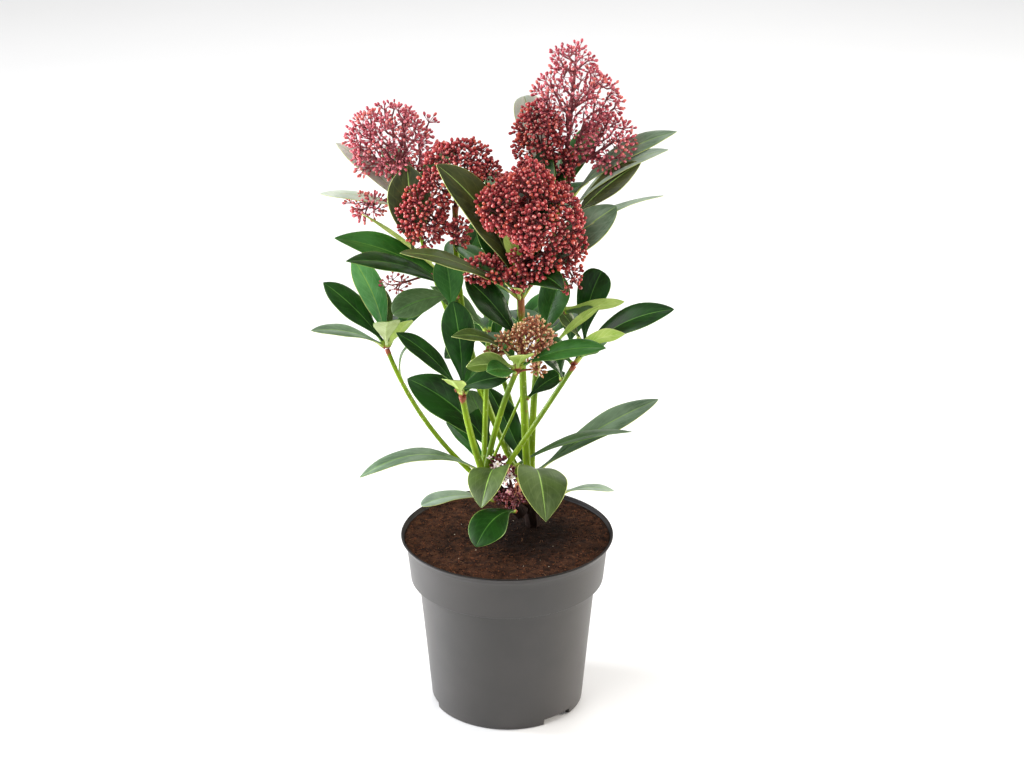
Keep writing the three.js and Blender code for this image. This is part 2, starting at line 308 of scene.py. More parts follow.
@dataclass(frozen=True)
class PeatFinish(Finish):
    """Peat that is darker in damp patches and darkest round the trunk, where the darkening is painted shade
    for the plant's shadow.
    """

    # The tone of the damp patches and of the painted shade round the trunk; then the middle of that painted
    # shade, in metres, and the distances over which it fades in.
    damp_and_shade: str = "0b0503"
    trunk: Point = (0.012, 0.002, 0.11)
    reach: Pair = (0.048, 0.015)
    patches: float = 38.0
    patch_edge: Pair = (0.5, 0.68)

    def colour(self, bench: Bench) -> Signal:
        """The two tones, darkened in damp patches and by painted shade round the trunk."""
        ends = {0: bench.place(), 1: self.trunk}
        away = bench.signal("ShaderNodeVectorMath", {"operation": "DISTANCE"}, ends, 1)
        patches = bench.ramp(bench.grain(self.patches, 2.0), *self.patch_edge)
        damp_and_shade = (bench.ramp(away, *self.reach) + patches * 0.45).held() * 0.85
        return bench.mix(damp_and_shade, super().colour(bench), tone(self.damp_and_shade))


@dataclass(frozen=True)
class StalkFinish(Finish):
    """A leaf stalk: pale green, and red-brown where it joins the stem."""

    joint: str = "8c4234"
    joint_edge: Pair = (0.062, 0.022)

    def colour(self, bench: Bench) -> Signal:
        """The pale green, with the joint's tone at the start of the leaf's map."""
        joint = bench.ramp(bench.on_map(1) + bench.grain(400.0) * 0.03, *self.joint_edge)
        return bench.mix(joint, super().colour(bench), tone(self.joint))


# The greens of the upper sides and of the undersides, and a leaf's other parts: each is the place of its
# finish in LEAF_FINISHES. The silver, pale and frost greens are painted sheen, the pale grey of the white
# surround on glossy leaves; some leaves that sit in shade under the buds are given a darker green, as painted
# shade.
Shade = IntEnum("Shade", "DEEP MID FRESH GREY OLIVE SILVER DULL PALE", start=0)
Under = IntEnum("Under", "LIME SAGE FROST MOSS PEAR", start=len(Shade))
LeafPart = IntEnum(
    "LeafPart", "DARK_RIB PALE_RIB DARK_MARGIN PALE_MARGIN UNDER_RIB STALK", start=len(Shade) + len(Under)
)


def dyed(kind: type[Finish], drift: float, rows: str, **shared: Any) -> list[Finish]:
    """Makes a range of finishes that differ in colour.

    Args:
        kind: The class of finish.
        drift: How often the two tones change, for each metre.
        rows: On each line a name, a dark and a light tone, a roughness and, for a blade, the veins' tone.
        shared: What else they have in common.

    Returns:
        The finishes, in the order of the rows.
    """
    made = []
    for row in rows.strip().splitlines():
        name, dark, light, roughness, *vein = row.split()
        own = {"vein": vein[0]} if vein else {}
        made.append(kind(name, dark, light, drift, float(roughness), **own, **shared))
    return made


UPPER_SIDE = {"grain": 1400, "depth": 0.06}
UNDERSIDE = {"grain": 1200, "depth": 0.06}
# The silver, pale and frost tones below are painted sheen on glossy leaves.
LEAF_FINISHES = [
    *dyed(BladeFinish, 45, """
        leaf_deep 0c2606 1a4410 0.34 2e5f22
        leaf_mid 1d4a12 35692a 0.36 4a7d38""", grain=1400, depth=0.08, shine=0.22),
    *dyed(BladeFinish, 45, "leaf_fresh 3f7a40 649a60 0.38 80b47c", grain=1400, depth=0.08),
    *dyed(BladeFinish, 45, """
        leaf_grey 38502c 566f4a 0.38 6f9064
        leaf_olive 232c0c 40481c 0.42 626a34
        leaf_silver 788a7a 9cae9a 0.4 b0beac
        leaf_dull 324416 4b5f2a 0.4 6a7c48
        leaf_pale 4c6448 748a70 0.4 94aa8c""", **UPPER_SIDE),
    *dyed(BladeFinish, 45, """
        under_lime 86a838 b2c866 0.5 cddc8c
        under_sage 6f8e58 95ad7a 0.52 b2c496""", grain=1200, depth=0.08, vein_strength=0.3),
    *dyed(BladeFinish, 45, """
        under_frost a9b8a8 ccd6c8 0.5 dbe2d4
        under_moss 50681a 74903a 0.5 8ea650""", **UNDERSIDE),
    *dyed(BladeFinish, 45, "under_pear 9fb26a c2d096 0.5 d4dfae", vein_strength=0.3, **UNDERSIDE),
    *dyed(Finish, 90, """
        rib_dark 3f7028 5a8a3a 0.42
        rib_pale 7a9f44 98b85e 0.42
        margin_dark 5a8232 7c9c4a 0.45
        margin_pale a6b45c c4cc80 0.45
        rib_under a2ba62 c2d284 0.5"""),
    StalkFinish("leaf_stalk", "7f9830", "a6b84e", 120, 0.45),
]

# Three tones of bud, the second also used as painted shade for sprays deep in a panicle; then the tip,
# whose pale tone is partly the bud's own and partly a painted highlight; and the cup.
BUDS = dyed(Finish, 300, """
    bud_rose 9a2b31 be4a4c 0.48
    bud_crimson 762024 9c373a 0.42
    bud_scarlet a83a32 cc5c48 0.42
    bud_tip c46a64 e4a49a 0.45
    bud_cup 481a18 6c2c28 0.55""")
# Paler and pinker than the buds above: partly the back panicles' own lighter buds and partly the painted glow
# of the bright surround behind them.
OPEN_BUDS = dyed(Finish, 300, """
    small_bud_rose b84854 d87882 0.45
    small_bud_crimson 983440 bc5460 0.45
    small_bud_scarlet c45854 e0847a 0.45
    small_bud_tip d07c84 ecb0b2 0.45
    small_bud_cup 6c2e38 94505a 0.55""")
WITHERED_BUDS = dyed(Finish, 300, """
    withered_tan c08a56 e6c490 0.6
    withered_brown 96583a bc8058 0.6
    withered_pink b06a54 d6967c 0.6
    withered_tip e2cc9c f6ecc6 0.6
    withered_cup 6a4a30 96724c 0.6""")
LOW_BUDS = dyed(Finish, 300, """
    low_bud_wine 3a0f18 5c1b27 0.45
    low_bud_plum 4a1420 6f2532 0.45
    low_bud_rust 5c231f 84392c 0.45
    low_bud_tip 6a2c38 a06a70 0.45
    low_bud_cup 260b10 3c141b 0.5""")
PETALS = dyed(Finish, 200, """
    petal_white f0dcdc fdf4f2 0.45
    petal_blush d88a94 efb6ba 0.45
    petal_heart b9ab5a d8cf84 0.5""")


def branchlets(
    name: str, wood: tuple[str, str], stalk: tuple[str, str], roughness: float = 0.5
) -> list[Finish]:
    """The finishes of a panicle's branchlets and of its bud stalks, each from a dark and a light tone."""
    return [
        Finish(name + "branchlet", *wood, 200, roughness, depth=0.08),
        Finish(name + "bud_stalk", *stalk, 200, roughness, depth=0.05),
    ]


BRANCHLETS = branchlets("", ("40191a", "6a342e"), ("6e2830", "a04a52"))
# The open panicles' branchlets and stalks are lighter than the others: painted glow of the bright surround
# behind them.
OPEN_BRANCHLETS = branchlets("open_", ("6a3036", "944c50"), ("984852", "c4707a"))
OLD_BRANCHLETS = branchlets("old_", ("6a2c20", "945038"), ("8a4632", "b47052"), 0.6)
STEM = StemFinish(
    "stem_bark", "4f6b06", "7a9612", 70, 0.4, grain=1500, depth=0.12, shine=0.2, stretch=(1, 1, 0.25)
)
# The trunk's two bark tones are near black, painted shade for the deep shadow that it stands in under the
# leaves; only its ripe head keeps the bark's tan.
TRUNK_IN_PAINTED_SHADE = StemFinish(
    "trunk_bark", "120906", "20120c", 150, 0.85, grain=700, depth=0.6, shine=0.1,
    ripe="8c5c42", speck="30201a",
)
POT_OUTSIDE = Finish("pot_plastic", "2c2a28", "33302e", 18, 0.42, 0.06, 2600, 0.03, 0.68)
# A darker, duller finish for the inside of the wall and the top of the lip: painted shade, with some
# darkening for damp.
POT_INSIDE_PAINTED_SHADE = Finish("pot_inside_painted_shade", "161312", "221e1c", 60, 0.6, 0.1, 2600, 0.05, 0.15)
PEAT = PeatFinish(
    "peat", "20120c", "523322", 240, 0.95, grain=1300, depth=0.9, shine=0.1, contrast=(0.3, 0.75)
)
CRUMBS = dyed(PeatFinish, 400, """
    crumb_dark 180c08 33201a 0.95
    crumb_brown 361e14 553627 0.95
    crumb_red 54301f 70452f 0.9""", depth=0.3, shine=0.1)
FIBRES = dyed(Finish, 400, """
    fibre_brown 3a2014 583422 0.85
    fibre_pale 664430 826044 0.85""", shine=0.1)
GRIT = Finish("grit", "a8937a", "d2c6b4", 500, 0.8)
FLOOR = Finish("pale_floor", "ececec", "eeeeee", 1.5, 0.6, unevenness=0.02, depth=0.0)


# ---------------- Modelling ----------------


def show_alone(piece: bpy.types.Object) -> None:
    """Makes a piece the only selected one, and the active one."""
    bpy.ops.object.select_all(action="DESELECT")
    piece.select_set(True)
    bpy.context.view_layer.objects.active = piece


def primitive(add: Callable, **settings: Any) -> bpy.types.Object:
    """Adds a plain mesh, such as a grid, as a piece of its own."""
    bpy.ops.object.select_all(action="DESELECT")
    add(**settings)
    return bpy.context.object


def placed(name: str, data: Any) -> bpy.types.Object:
    """Puts a mesh, a lamp or a camera into the scene."""
    made = bpy.data.objects.new(name, data)
    bpy.context.scene.collection.objects.link(made)
    return made


@contextmanager
def editing(piece: bpy.types.Object) -> Iterator[None]:
    """Holds a piece in edit mode, with nothing of it selected at first."""
    show_alone(piece)
    bpy.ops.object.mode_set(mode="EDIT")
    bpy.ops.mesh.select_all(action="DESELECT")
    yield
    bpy.ops.object.mode_set(mode="OBJECT")


def pick(piece: bpy.types.Object, kind: str, check: Check) -> None:
    """Selects parts of the piece in edit mode by the place of their middle.

    Args:
        piece: The piece that is being edited.
        kind: What is picked: verts, edges or faces.
        check: Says whether a part with that middle is picked.
    """
    bpy.ops.mesh.select_all(action="DESELECT")
    mesh = bmesh.from_edit_mesh(piece.data)
    for part in getattr(mesh, kind):
        corners = [part] if kind == "verts" else part.verts
        middle = sum((corner.co for corner in corners), Vector()) / len(corners)
        if check(middle):
            part.select_set(True)
    bmesh.update_edit_mesh(piece.data)


def pick_all() -> None:
    """Selects the whole of the piece in edit mode."""
    bpy.ops.mesh.select_all(action="SELECT")


def resize(x: float, y: float, z: float) -> None:
    """Resizes what is selected, by a factor on each axis."""
    bpy.ops.transform.resize(value=(x, y, z))


def shift(x: float, y: float, z: float) -> None:
    """Moves what is selected."""
    bpy.ops.transform.translate(value=(x, y, z))


def apply_modifier(piece: bpy.types.Object, kind: str, **settings: Any) -> None:
    """Adds a modifier to a piece, sets it and applies it."""
    show_alone(piece)
    modifier = piece.modifiers.new(kind.lower(), kind)
    for name, value in settings.items():
        setattr(modifier, name, value)
    bpy.ops.object.modifier_apply(modifier=modifier.name)


def read(parts: Any, name: str, kind: type = float, width: int = 1) -> np.ndarray:
    """Reads one value, or a row of width values, from each part of a mesh."""
    values = np.empty(len(parts) * width, dtype=kind)
    parts.foreach_get(name, values)
    return values.reshape(-1, width) if width > 1 else values


@dataclass
class Shape:
    """A modelled mesh as arrays, ready to be copied many times."""

    points: np.ndarray
    corners: np.ndarray
    sizes: np.ndarray
    marks: np.ndarray
    middles: np.ndarray
    normals: np.ndarray

    @classmethod
    def taken_from(cls, piece: bpy.types.Object) -> "Shape":
        """Reads the mesh of a piece at the origin, in the piece's own units, and removes the piece."""
        mesh = piece.data
        shape = cls(
            read(mesh.vertices, "co", width=3),
            read(mesh.loops, "vertex_index", np.int32),
            read(mesh.polygons, "loop_total", np.int32),
            read(mesh.polygons, "material_index", np.int32),
            read(mesh.polygons, "center", width=3),
            read(mesh.polygons, "normal", width=3),
        )
        bpy.data.objects.remove(piece)
        bpy.data.meshes.remove(mesh)
        return shape


@dataclass
class Bundle:
    """Copies of shapes that are joined into one piece. Points are in millimetres."""

    points: list[np.ndarray] = field(default_factory=list)
    corners: list[np.ndarray] = field(default_factory=list)
    sizes: list[np.ndarray] = field(default_factory=list)
    marks: list[np.ndarray] = field(default_factory=list)
    spots: list[np.ndarray] = field(default_factory=list)
    ripe: list[np.ndarray] = field(default_factory=list)
    count: int = 0

    def add(
        self,
        shape: Shape,
        points: np.ndarray,
        marks: Any = None,
        spots: np.ndarray | None = None,
        ripe: np.ndarray | None = None,
    ) -> None:
        """Adds one copy of a shape.

        Args:
            shape: The shape that is copied.
            points: Where the copy's points lie.
            marks: The finish of each face, or of all, by number, if not the shape's own.
            spots: The place of each point on the leaf's own map.
            ripe: How ripe the bark is at each point.
        """
        self.points.append(points)
        self.corners.append(shape.corners + self.count)
        self.sizes.append(shape.sizes)
        self.marks.append(np.broadcast_to(shape.marks if marks is None else marks, shape.sizes.shape))
        if spots is not None:
            self.spots.append(spots[shape.corners])
        if ripe is not None:
            self.ripe.append(ripe)
        self.count += len(points)

    def build(self, name: str, finishes: list[Finish]) -> bpy.types.Object:
        """Makes the joined piece.

        Args:
            name: The piece's name.
            finishes: Its finishes, in the order of the marks.

        Returns:
            The piece, at the origin, in metres.
        """
        points = np.concatenate(self.points) * MM
        corners = np.concatenate(self.corners)
        sizes = np.concatenate(self.sizes)
        mesh = bpy.data.meshes.new(name)
        mesh.vertices.add(len(points))
        mesh.vertices.foreach_set("co", points.ravel())
        mesh.loops.add(len(corners))
        mesh.loops.foreach_set("vertex_index", corners)
        mesh.polygons.add(len(sizes))
        mesh.polygons.foreach_set("loop_start", (np.cumsum(sizes) - sizes).astype(np.int32))
        for finish in finishes:
            mesh.materials.append(finish.made())
        mesh.polygons.foreach_set("material_index", np.concatenate(self.marks).astype(np.int32))
        mesh.polygons.foreach_set("use_smooth", np.ones(len(sizes), dtype=bool))
        if self.spots:
            layer = mesh.uv_layers.new(name="map")
            layer.data.foreach_set("uv", np.concatenate(self.spots).ravel())
        if self.ripe:
            attribute = mesh.attributes.new("ripe", "FLOAT", "POINT")
            attribute.data.foreach_set("value", np.concatenate(self.ripe))
        mesh.update(calc_edges=True)
        return placed(name, mesh)


def finished(piece: bpy.types.Object, slot: str, *nodes: str) -> None:
    """Ties a piece to the plant's body, hides the nodes that it stands for, and logs its faces with the name
    of its slot.
    """
    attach(piece, BODY)
    if nodes:
        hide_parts(*nodes)
    LOG.info("%s: %d faces, %s", piece.name, len(piece.data.polygons), slot)


def tube_shape(sides: int, rings: int) -> Shape:
    """Models a closed tube of radius 1 along Z from 0 to 1, with rings stretches along it."""
    piece = primitive(
        bpy.ops.mesh.primitive_cylinder_add, vertices=sides, radius=1, depth=1, end_fill_type="TRIFAN"
    )
    with editing(piece):
        if rings > 1:
            pick(piece, "edges", lambda middle: abs(middle.z) < 0.01 and middle.length > 0.5)
            bpy.ops.mesh.subdivide(number_cuts=rings - 1)
        pick_all()
        shift(0, 0, 0.5)
    return Shape.taken_from(piece)


def unit(vector: np.ndarray) -> np.ndarray:
    """A vector, or each of the rows of an array, with a length of 1."""
    return vector / np.maximum(np.linalg.norm(vector, axis=-1, keepdims=True), 1e-9)


def turn_frames(tangents: np.ndarray) -> tuple[np.ndarray, np.ndarray]:
    """Two directions across each tangent, at right angles."""
    guide = np.where(np.abs(tangents[..., 2:]) > 0.9, [0.0, 1.0, 0.0], [0.0, 0.0, 1.0])
    side = unit(np.cross(guide, tangents))
    return side, np.cross(tangents, side)


@dataclass(frozen=True)
class Path:
    """A smooth line through a foot, a middle and a tip, in millimetres."""

    foot: Point
    middle: Point
    tip: Point

    def at(self, share: np.ndarray) -> np.ndarray:
        """Points at shares of the way from foot to tip."""
        foot, middle, tip = (np.array(p, float) for p in (self.foot, self.middle, self.tip))
        first, second = np.linalg.norm(middle - foot), np.linalg.norm(tip - middle)
        knot = first / (first + second)
        t = np.asarray(share, float)[:, None]
        low = (t - knot) * (t - 1) / knot
        centre = t * (t - 1) / (knot * (knot - 1))
        high = t * (t - knot) / (1 - knot)
        return foot * low + middle * centre + tip * high

    def length(self) -> float:
        """The line's length."""
        points = self.at(np.linspace(0, 1, 25))
        return float(np.linalg.norm(np.diff(points, axis=0), axis=1).sum())

    def sweep(self, shape: Shape, radius: np.ndarray) -> np.ndarray:
        """Bends a tube along the line, with a radius for each of its points, and gives the bent points."""
        share = shape.points[:, 2]
        step = 1e-3
        side, over = turn_frames(unit(self.at(share + step) - self.at(share - step)))
        reach = shape.points[:, :2] * radius[:, None]
        return self.at(share) + side * reach[:, :1] + over * reach[:, 1:]


# ---------------- Pot and soil ----------------


def turned(name: str, profile: list[Pair], sides: int) -> bpy.types.Object:
    """Turns an outline about Z by extruding one ring after another.

    Args:
        name: The piece's name.
        profile: Radius and height of each ring, in millimetres, round the wall's section.
        sides: Faces round it.

    Returns:
        The closed piece.
    """
    radius, height = profile[0]
    circle = bpy.ops.mesh.primitive_circle_add
    piece = primitive(circle, vertices=sides, radius=radius * MM, fill_type="NOTHING")
    piece.name = piece.data.name = name
    with editing(piece):
        pick_all()
        shift(0, 0, height * MM)
        for next_radius, next_height in profile[1:]:
            rise = (next_height - height) * MM
            bpy.ops.mesh.extrude_edges_move(TRANSFORM_OT_translate={"value": (0, 0, rise)})
            scale = next_radius / radius
            bpy.ops.transform.resize(value=(scale, scale, 1), center_override=(0, 0, next_height * MM))
            radius, height = next_radius, next_height
        pick_all()
        bpy.ops.mesh.fill_holes(sides=0)
        pick_all()
        bpy.ops.mesh.normals_make_consistent(inside=False)
    return piece


def arc(middle: Pair, radius: float, start: float, end: float, steps: int) -> list[Pair]:
    """Points on an arc, from the angle start to the angle end, in degrees."""
    angles = [math.radians(start + (end - start) * i / steps) for i in range(steps + 1)]
    return [(middle[0] + radius * math.cos(a), middle[1] + radius * math.sin(a)) for a in angles]


@dataclass
class NurseryPot:
    """The round plastic pot: a tapering wall, a step, a band, and a lip that flares out, in millimetres."""

    height: float = 112.0
    lip_radius: float = 65.0
    lip_bead: float = 0.7
    lip_inner_bead: float = 0.7
    flare_foot: float = 106.6
    band_top_radius: float = 61.6
    band_foot_radius: float = 59.3
    band_foot: float = 83.0
    band_edge: float = 0.8
    wall_top_radius: float = 54.1
    step_height: float = 1.5
    foot_radius: float = 46.8
    foot_edge: float = 1.0
    wall: float = 1.5
    lip_wall: float = 1.45
    floor: float = 6.0
    sides: int = 144
    notches: int = 3
    first_notch: float = 72.0
    notch: Point = (16.0, 21.0, 8.0)
    edge_bevel: float = 0.25
    smooth_angle: float = 38.0

    def outline(self) -> list[Pair]:
        """The section of the wall, from the middle of the underside round to the middle of the floor."""
        step_foot = self.band_foot - self.step_height
        top, bead, inner_bead = self.height, self.lip_bead, self.lip_inner_bead
        band_top, band_foot, edge = self.band_top_radius, self.band_foot_radius, self.band_edge
        wall_top, foot, foot_edge = self.wall_top_radius, self.foot_radius, self.foot_edge
        slope = (wall_top - foot) / step_foot
        inner = self.lip_radius - self.lip_wall
        return [
            (foot - 6, 0.0), (foot - 1.2, 0.0),
            *arc((foot - foot_edge, foot_edge), foot_edge, -60, 0, 3),
            *((foot + slope * z, z) for z in (4.6, 5.4, 12.0, 40.0)),
            (wall_top - 0.4, step_foot - 6), (wall_top, step_foot), (band_foot - 0.9, self.band_foot - 0.1),
            *arc((band_foot - edge, self.band_foot + edge), edge, -60, 0, 3),
            (band_top - 0.3, self.flare_foot - 4), (band_top, self.flare_foot - 0.4),
            (band_top + 0.5, self.flare_foot + 0.5), (self.lip_radius - 2 * bead, top - 2.6),
            *arc((self.lip_radius - bead, top - bead), bead, -70, 90, 6),
            *arc((inner + inner_bead, top - inner_bead), inner_bead, 90, 180, 3),
            (inner, top - 2.0), (band_top - self.wall, self.flare_foot - 0.8),
            (band_foot - self.wall, self.band_foot + self.wall),
            (wall_top - self.wall, step_foot + self.wall),
            (foot - self.wall, self.floor), (1.0, self.floor),
        ]

    def build(self) -> None:
        """Turns the pot, cuts the drain notches round its foot and softens its edges."""
        piece = turned("nursery_pot", self.outline(), self.sides)
        for index in range(self.notches):
            self._cut_notch(piece, math.radians(self.first_notch + index * 360 / self.notches))
        bevel = {"width": self.edge_bevel * MM, "segments": 2, "limit_method": "ANGLE", "angle_limit": 0.6}
        apply_modifier(piece, "BEVEL", **bevel)
        show_alone(piece)
        bpy.ops.object.shade_smooth_by_angle(angle=math.radians(self.smooth_angle))
        piece.data.materials.append(POT_OUTSIDE.made())
        piece.data.materials.append(POT_INSIDE_PAINTED_SHADE.made())
        # The inside of the wall and the top of the lip take the darker finish, as painted shade.
        for face in piece.data.polygons:
            outward = face.normal.x * face.center.x + face.normal.y * face.center.y
            inside = outward < -0.3 * face.center.xy.length and face.center.z > self.floor * MM
            if inside or (face.normal.z > 0.3 and face.center.z > (self.height - 2) * MM):
                face.material_index = 1
        finished(piece, "pot_plastic", "pot")

    def _cut_notch(self, piece: bpy.types.Object, angle: float) -> None:
        """Cuts one drain notch through the foot."""
        radius = self.foot_radius * MM
        place = (radius * math.cos(angle), radius * math.sin(angle), 0)
        block = primitive(bpy.ops.mesh.primitive_cube_add, size=1, location=place, rotation=(0, 0, angle))
        block.scale = tuple(side * MM for side in self.notch)
        bpy.ops.object.transform_apply(location=True, rotation=True, scale=True)
        apply_modifier(piece, "BOOLEAN", operation="DIFFERENCE", object=block, solver="EXACT")
        bpy.data.objects.remove(block)


@dataclass
class PeatFill:
    """The peat in the pot: an uneven top of crumbs and fibres on a body that fills the wall."""

    pot: NurseryPot
    level: float = 109.4
    gap: float = 0.3
    rim_gap: float = 0.75
    level_rim: float = 0.9
    swell: float = 0.9
    lump: float = 0.42
    heap: float = 3.2
    heap_middle: Pair = (16.0, 11.0)
    heap_radius: float = 10.0
    rings: int = 62
    sides: int = 200
    crumbs: int = 4600
    fibres: int = 380
    grit: int = 14
    lift: float = 0.12
    tilt: float = 0.35
    seed: int = 11

    def radius(self) -> float:
        """The radius of the top."""
        return self.pot.lip_radius - self.pot.lip_wall - self.rim_gap

    def surface(self, x: float, y: float) -> float:
        """The height of the top at a place, in millimetres."""
        place = Vector((x, y, 0.0))
        swell = noise.noise(place / 17.0) * self.swell + noise.noise(place / 6.0) * 0.5
        lumps = noise.fractal(place / 2.6, 0.9, 2.1, 4) * self.lump
        edge = max(0.0, math.hypot(x, y) / self.radius() - self.level_rim) / (1 - self.level_rim)
        away = ((x - self.heap_middle[0]) ** 2 + (y - self.heap_middle[1]) ** 2) / self.heap_radius**2
        return self.level + (swell + lumps) * (1 - edge) + self.heap * math.exp(-away)

    def build(self) -> None:
        """Builds the body and all that lies on it."""
        self._body()
        rng = random.Random(self.seed)
        self._scatter("peat_crumbs", self._crumb(), self.crumbs, (0.55, 1.5), CRUMBS, rng)
        self._scatter("peat_fibres", self._fibre(), self.fibres, (1.2, 3.4), FIBRES, rng)
        self._scatter("peat_grit", self._crumb(), self.grit, (0.5, 0.95), [GRIT], rng)

    def _body(self) -> None:
        """Turns the body and shapes its top."""
        pot, gap = self.pot, self.pot.wall + self.gap
        profile = [
            (pot.foot_radius - gap - 4, pot.floor + self.gap),
            (pot.foot_radius - gap, pot.floor + self.gap),
            (pot.wall_top_radius - gap, pot.band_foot - pot.step_height + gap),
            (pot.band_foot_radius - gap, pot.band_foot + gap),
            (pot.band_top_radius - gap - 0.2, pot.flare_foot - gap),
        ]
        profile += [(self.radius() * (1 - ring / self.rings), self.level) for ring in range(self.rings)]
        piece = turned("peat", profile, self.sides)
        for vertex in piece.data.vertices:
            if vertex.co.z > (self.level - 0.5) * MM:
                vertex.co.z = self.surface(vertex.co.x / MM, vertex.co.y / MM) * MM
        show_alone(piece)
        bpy.ops.object.shade_smooth()
        piece.data.materials.append(PEAT.made())
        finished(piece, "soil", "soil")

    @staticmethod
    def _crumb() -> Shape:
        """Models one crumb: a small lumpy ball, flattened."""
        piece = primitive(bpy.ops.mesh.primitive_ico_sphere_add, subdivisions=1, radius=0.5)
        with editing(piece):
            pick_all()
            resize(1.0, 0.8, 0.6)
            pick(piece, "verts", lambda middle: middle.x > 0.2)
            resize(1.25, 0.6, 0.8)
        return Shape.taken_from(piece)

    @staticmethod
    def _fibre() -> Shape:
        """Models one fibre: a thin bent thread along X."""
        shape = tube_shape(3, 3)
        along, across, lift = shape.points[:, 2] - 0.5, shape.points[:, 0], shape.points[:, 1]
        bend, radius = 0.16 * (0.25 - along**2), 0.035
        shape.points = np.stack([along, bend + across * radius, lift * radius + bend * 0.5], axis=1)
        return shape

    def _scatter(
        self, name: str, shape: Shape, count: int, size: Pair, finishes: list[Finish], rng: random.Random
    ) -> None:
        """Strews copies of a shape over the top.

        Args:
            name: The joined piece's name.
            shape: What is strewn.
            count: How many.
            size: The smallest and the largest, in millimetres.
            finishes: The finishes that they come in.
            rng: The source of chance.
        """
        bundle = Bundle()
        for _ in range(count):
            distance = (self.radius() - 1.2) * math.sqrt(rng.random())
            angle = rng.uniform(0, FULL_TURN)
            x, y = distance * math.cos(angle), distance * math.sin(angle)
            scale = size[0] + (size[1] - size[0]) * rng.random() ** 2.5
            turn, tilt = rng.uniform(0, FULL_TURN), rng.uniform(-self.tilt, self.tilt)
            rotation = np.array(Matrix.Rotation(turn, 3, "Z") @ Matrix.Rotation(tilt, 3, "Y"))
            place = np.array([x, y, self.surface(x, y) + self.lift * scale])
            bundle.add(shape, (shape.points * scale) @ rotation.T + place, rng.randrange(len(finishes)))
        finished(bundle.build(name, finishes), "soil")


# ---------------- Stems ----------------


@dataclass(frozen=True)
class Limb:
    """One limb: its line, its radii from foot to tip, and where its bark turns from green to brown."""

    node: str
    path: Path
    radii: tuple[float, ...]
    ripe_from: float = 0.95
    ripe_to: float = 1.0
    ripe_foot: float = 0.06
    ripeness: float = 0.6
    ridges: float = 0.05

    def radius(self, share: np.ndarray) -> np.ndarray:
        """The plain radius at shares of the way from foot to tip."""
        return np.interp(share, np.linspace(0, 1, len(self.radii)), self.radii)

    def finish(self, tube: Shape, radius: np.ndarray, ripe: np.ndarray, finish: Finish, slot: str) -> None:
        """Bends the tube along the limb with that radius and ripeness, and makes it the node's piece."""
        bundle = Bundle()
        bundle.add(tube, self.path.sweep(tube, radius), ripe=ripe)
        finished(bundle.build(self.node + "_bark", [finish]), slot, self.node)


def stem(
    name: str, foot: Point, middle: Point, tip: Point, radii: Pair, *ripe: float, **extra: float
) -> Limb:
    """A green stem from three points and the radii at its ends."""
    return Limb("stem_" + name, Path(foot, middle, tip), radii, *ripe, **extra)


LIMBS = [
    stem("left", (-13, -6, 147), (-44, -5, 181), (-71, -2, 233), (1.5, 1.3), 0.93),
    stem("front_left", (-10, -11, 144), (-20, -24, 182), (-26, -34, 216), (2.2, 1.8), 0.9),
    stem("front", (-14, -12, 150), (-5, -21, 196), (6, -32, 232), (1.9, 1.6), 0.94),
    stem("mid_left", (-14, -3, 150), (-13, 6, 189), (-11, 8, 238), (1.8, 1.5)),
    stem("centre", (13, -4, 139), (10, -8, 205), (8, -14, 292), (2.4, 1.9), 0.74, 0.8),
    stem("back_right", (15, 5, 138), (18, 13, 220), (33, 26, 326), (2.2, 1.6), 0.86, 0.95),
    stem("right", (-7, -12, 151), (14, -20, 188), (39, -26, 232), (1.7, 1.4), 0.93),
    stem("upper_left", (10, 6, 140), (-19, 15, 215), (-30, 10, 318), (1.9, 1.7), 0.7, 0.95, ripeness=0.42),
    stem("back_left", (11, 11, 139), (-31, 27, 232), (-60, 32, 322), (1.8, 1.3), 0.86, 0.96),
    stem("back", (14, 10, 139), (6, 30, 170), (-6, 44, 206), (1.9, 1.6), 0.9),
    stem("back_top", (16, 12, 139), (9, 34, 215), (7, 46, 300), (1.9, 1.6), 0.86, 0.95),
    Limb("shoot_thin", Path((-12, -4, 154), (-2, -1, 177), (10, 3, 204)), (1.0, 0.8)),
]

WOOD = [
    Limb(
        "main_stem", Path((16, 12, 103), (15, 8, 121), (10, 1, 141)), (5.2, 4.5, 4.7, 5.8, 7.0), ridges=0.26
    ),
    Limb("fork", Path((9, -3, 126), (-2, -6, 139), (-12, -8, 151)), (4.6, 3.6, 3.8), ridges=0.18),
]


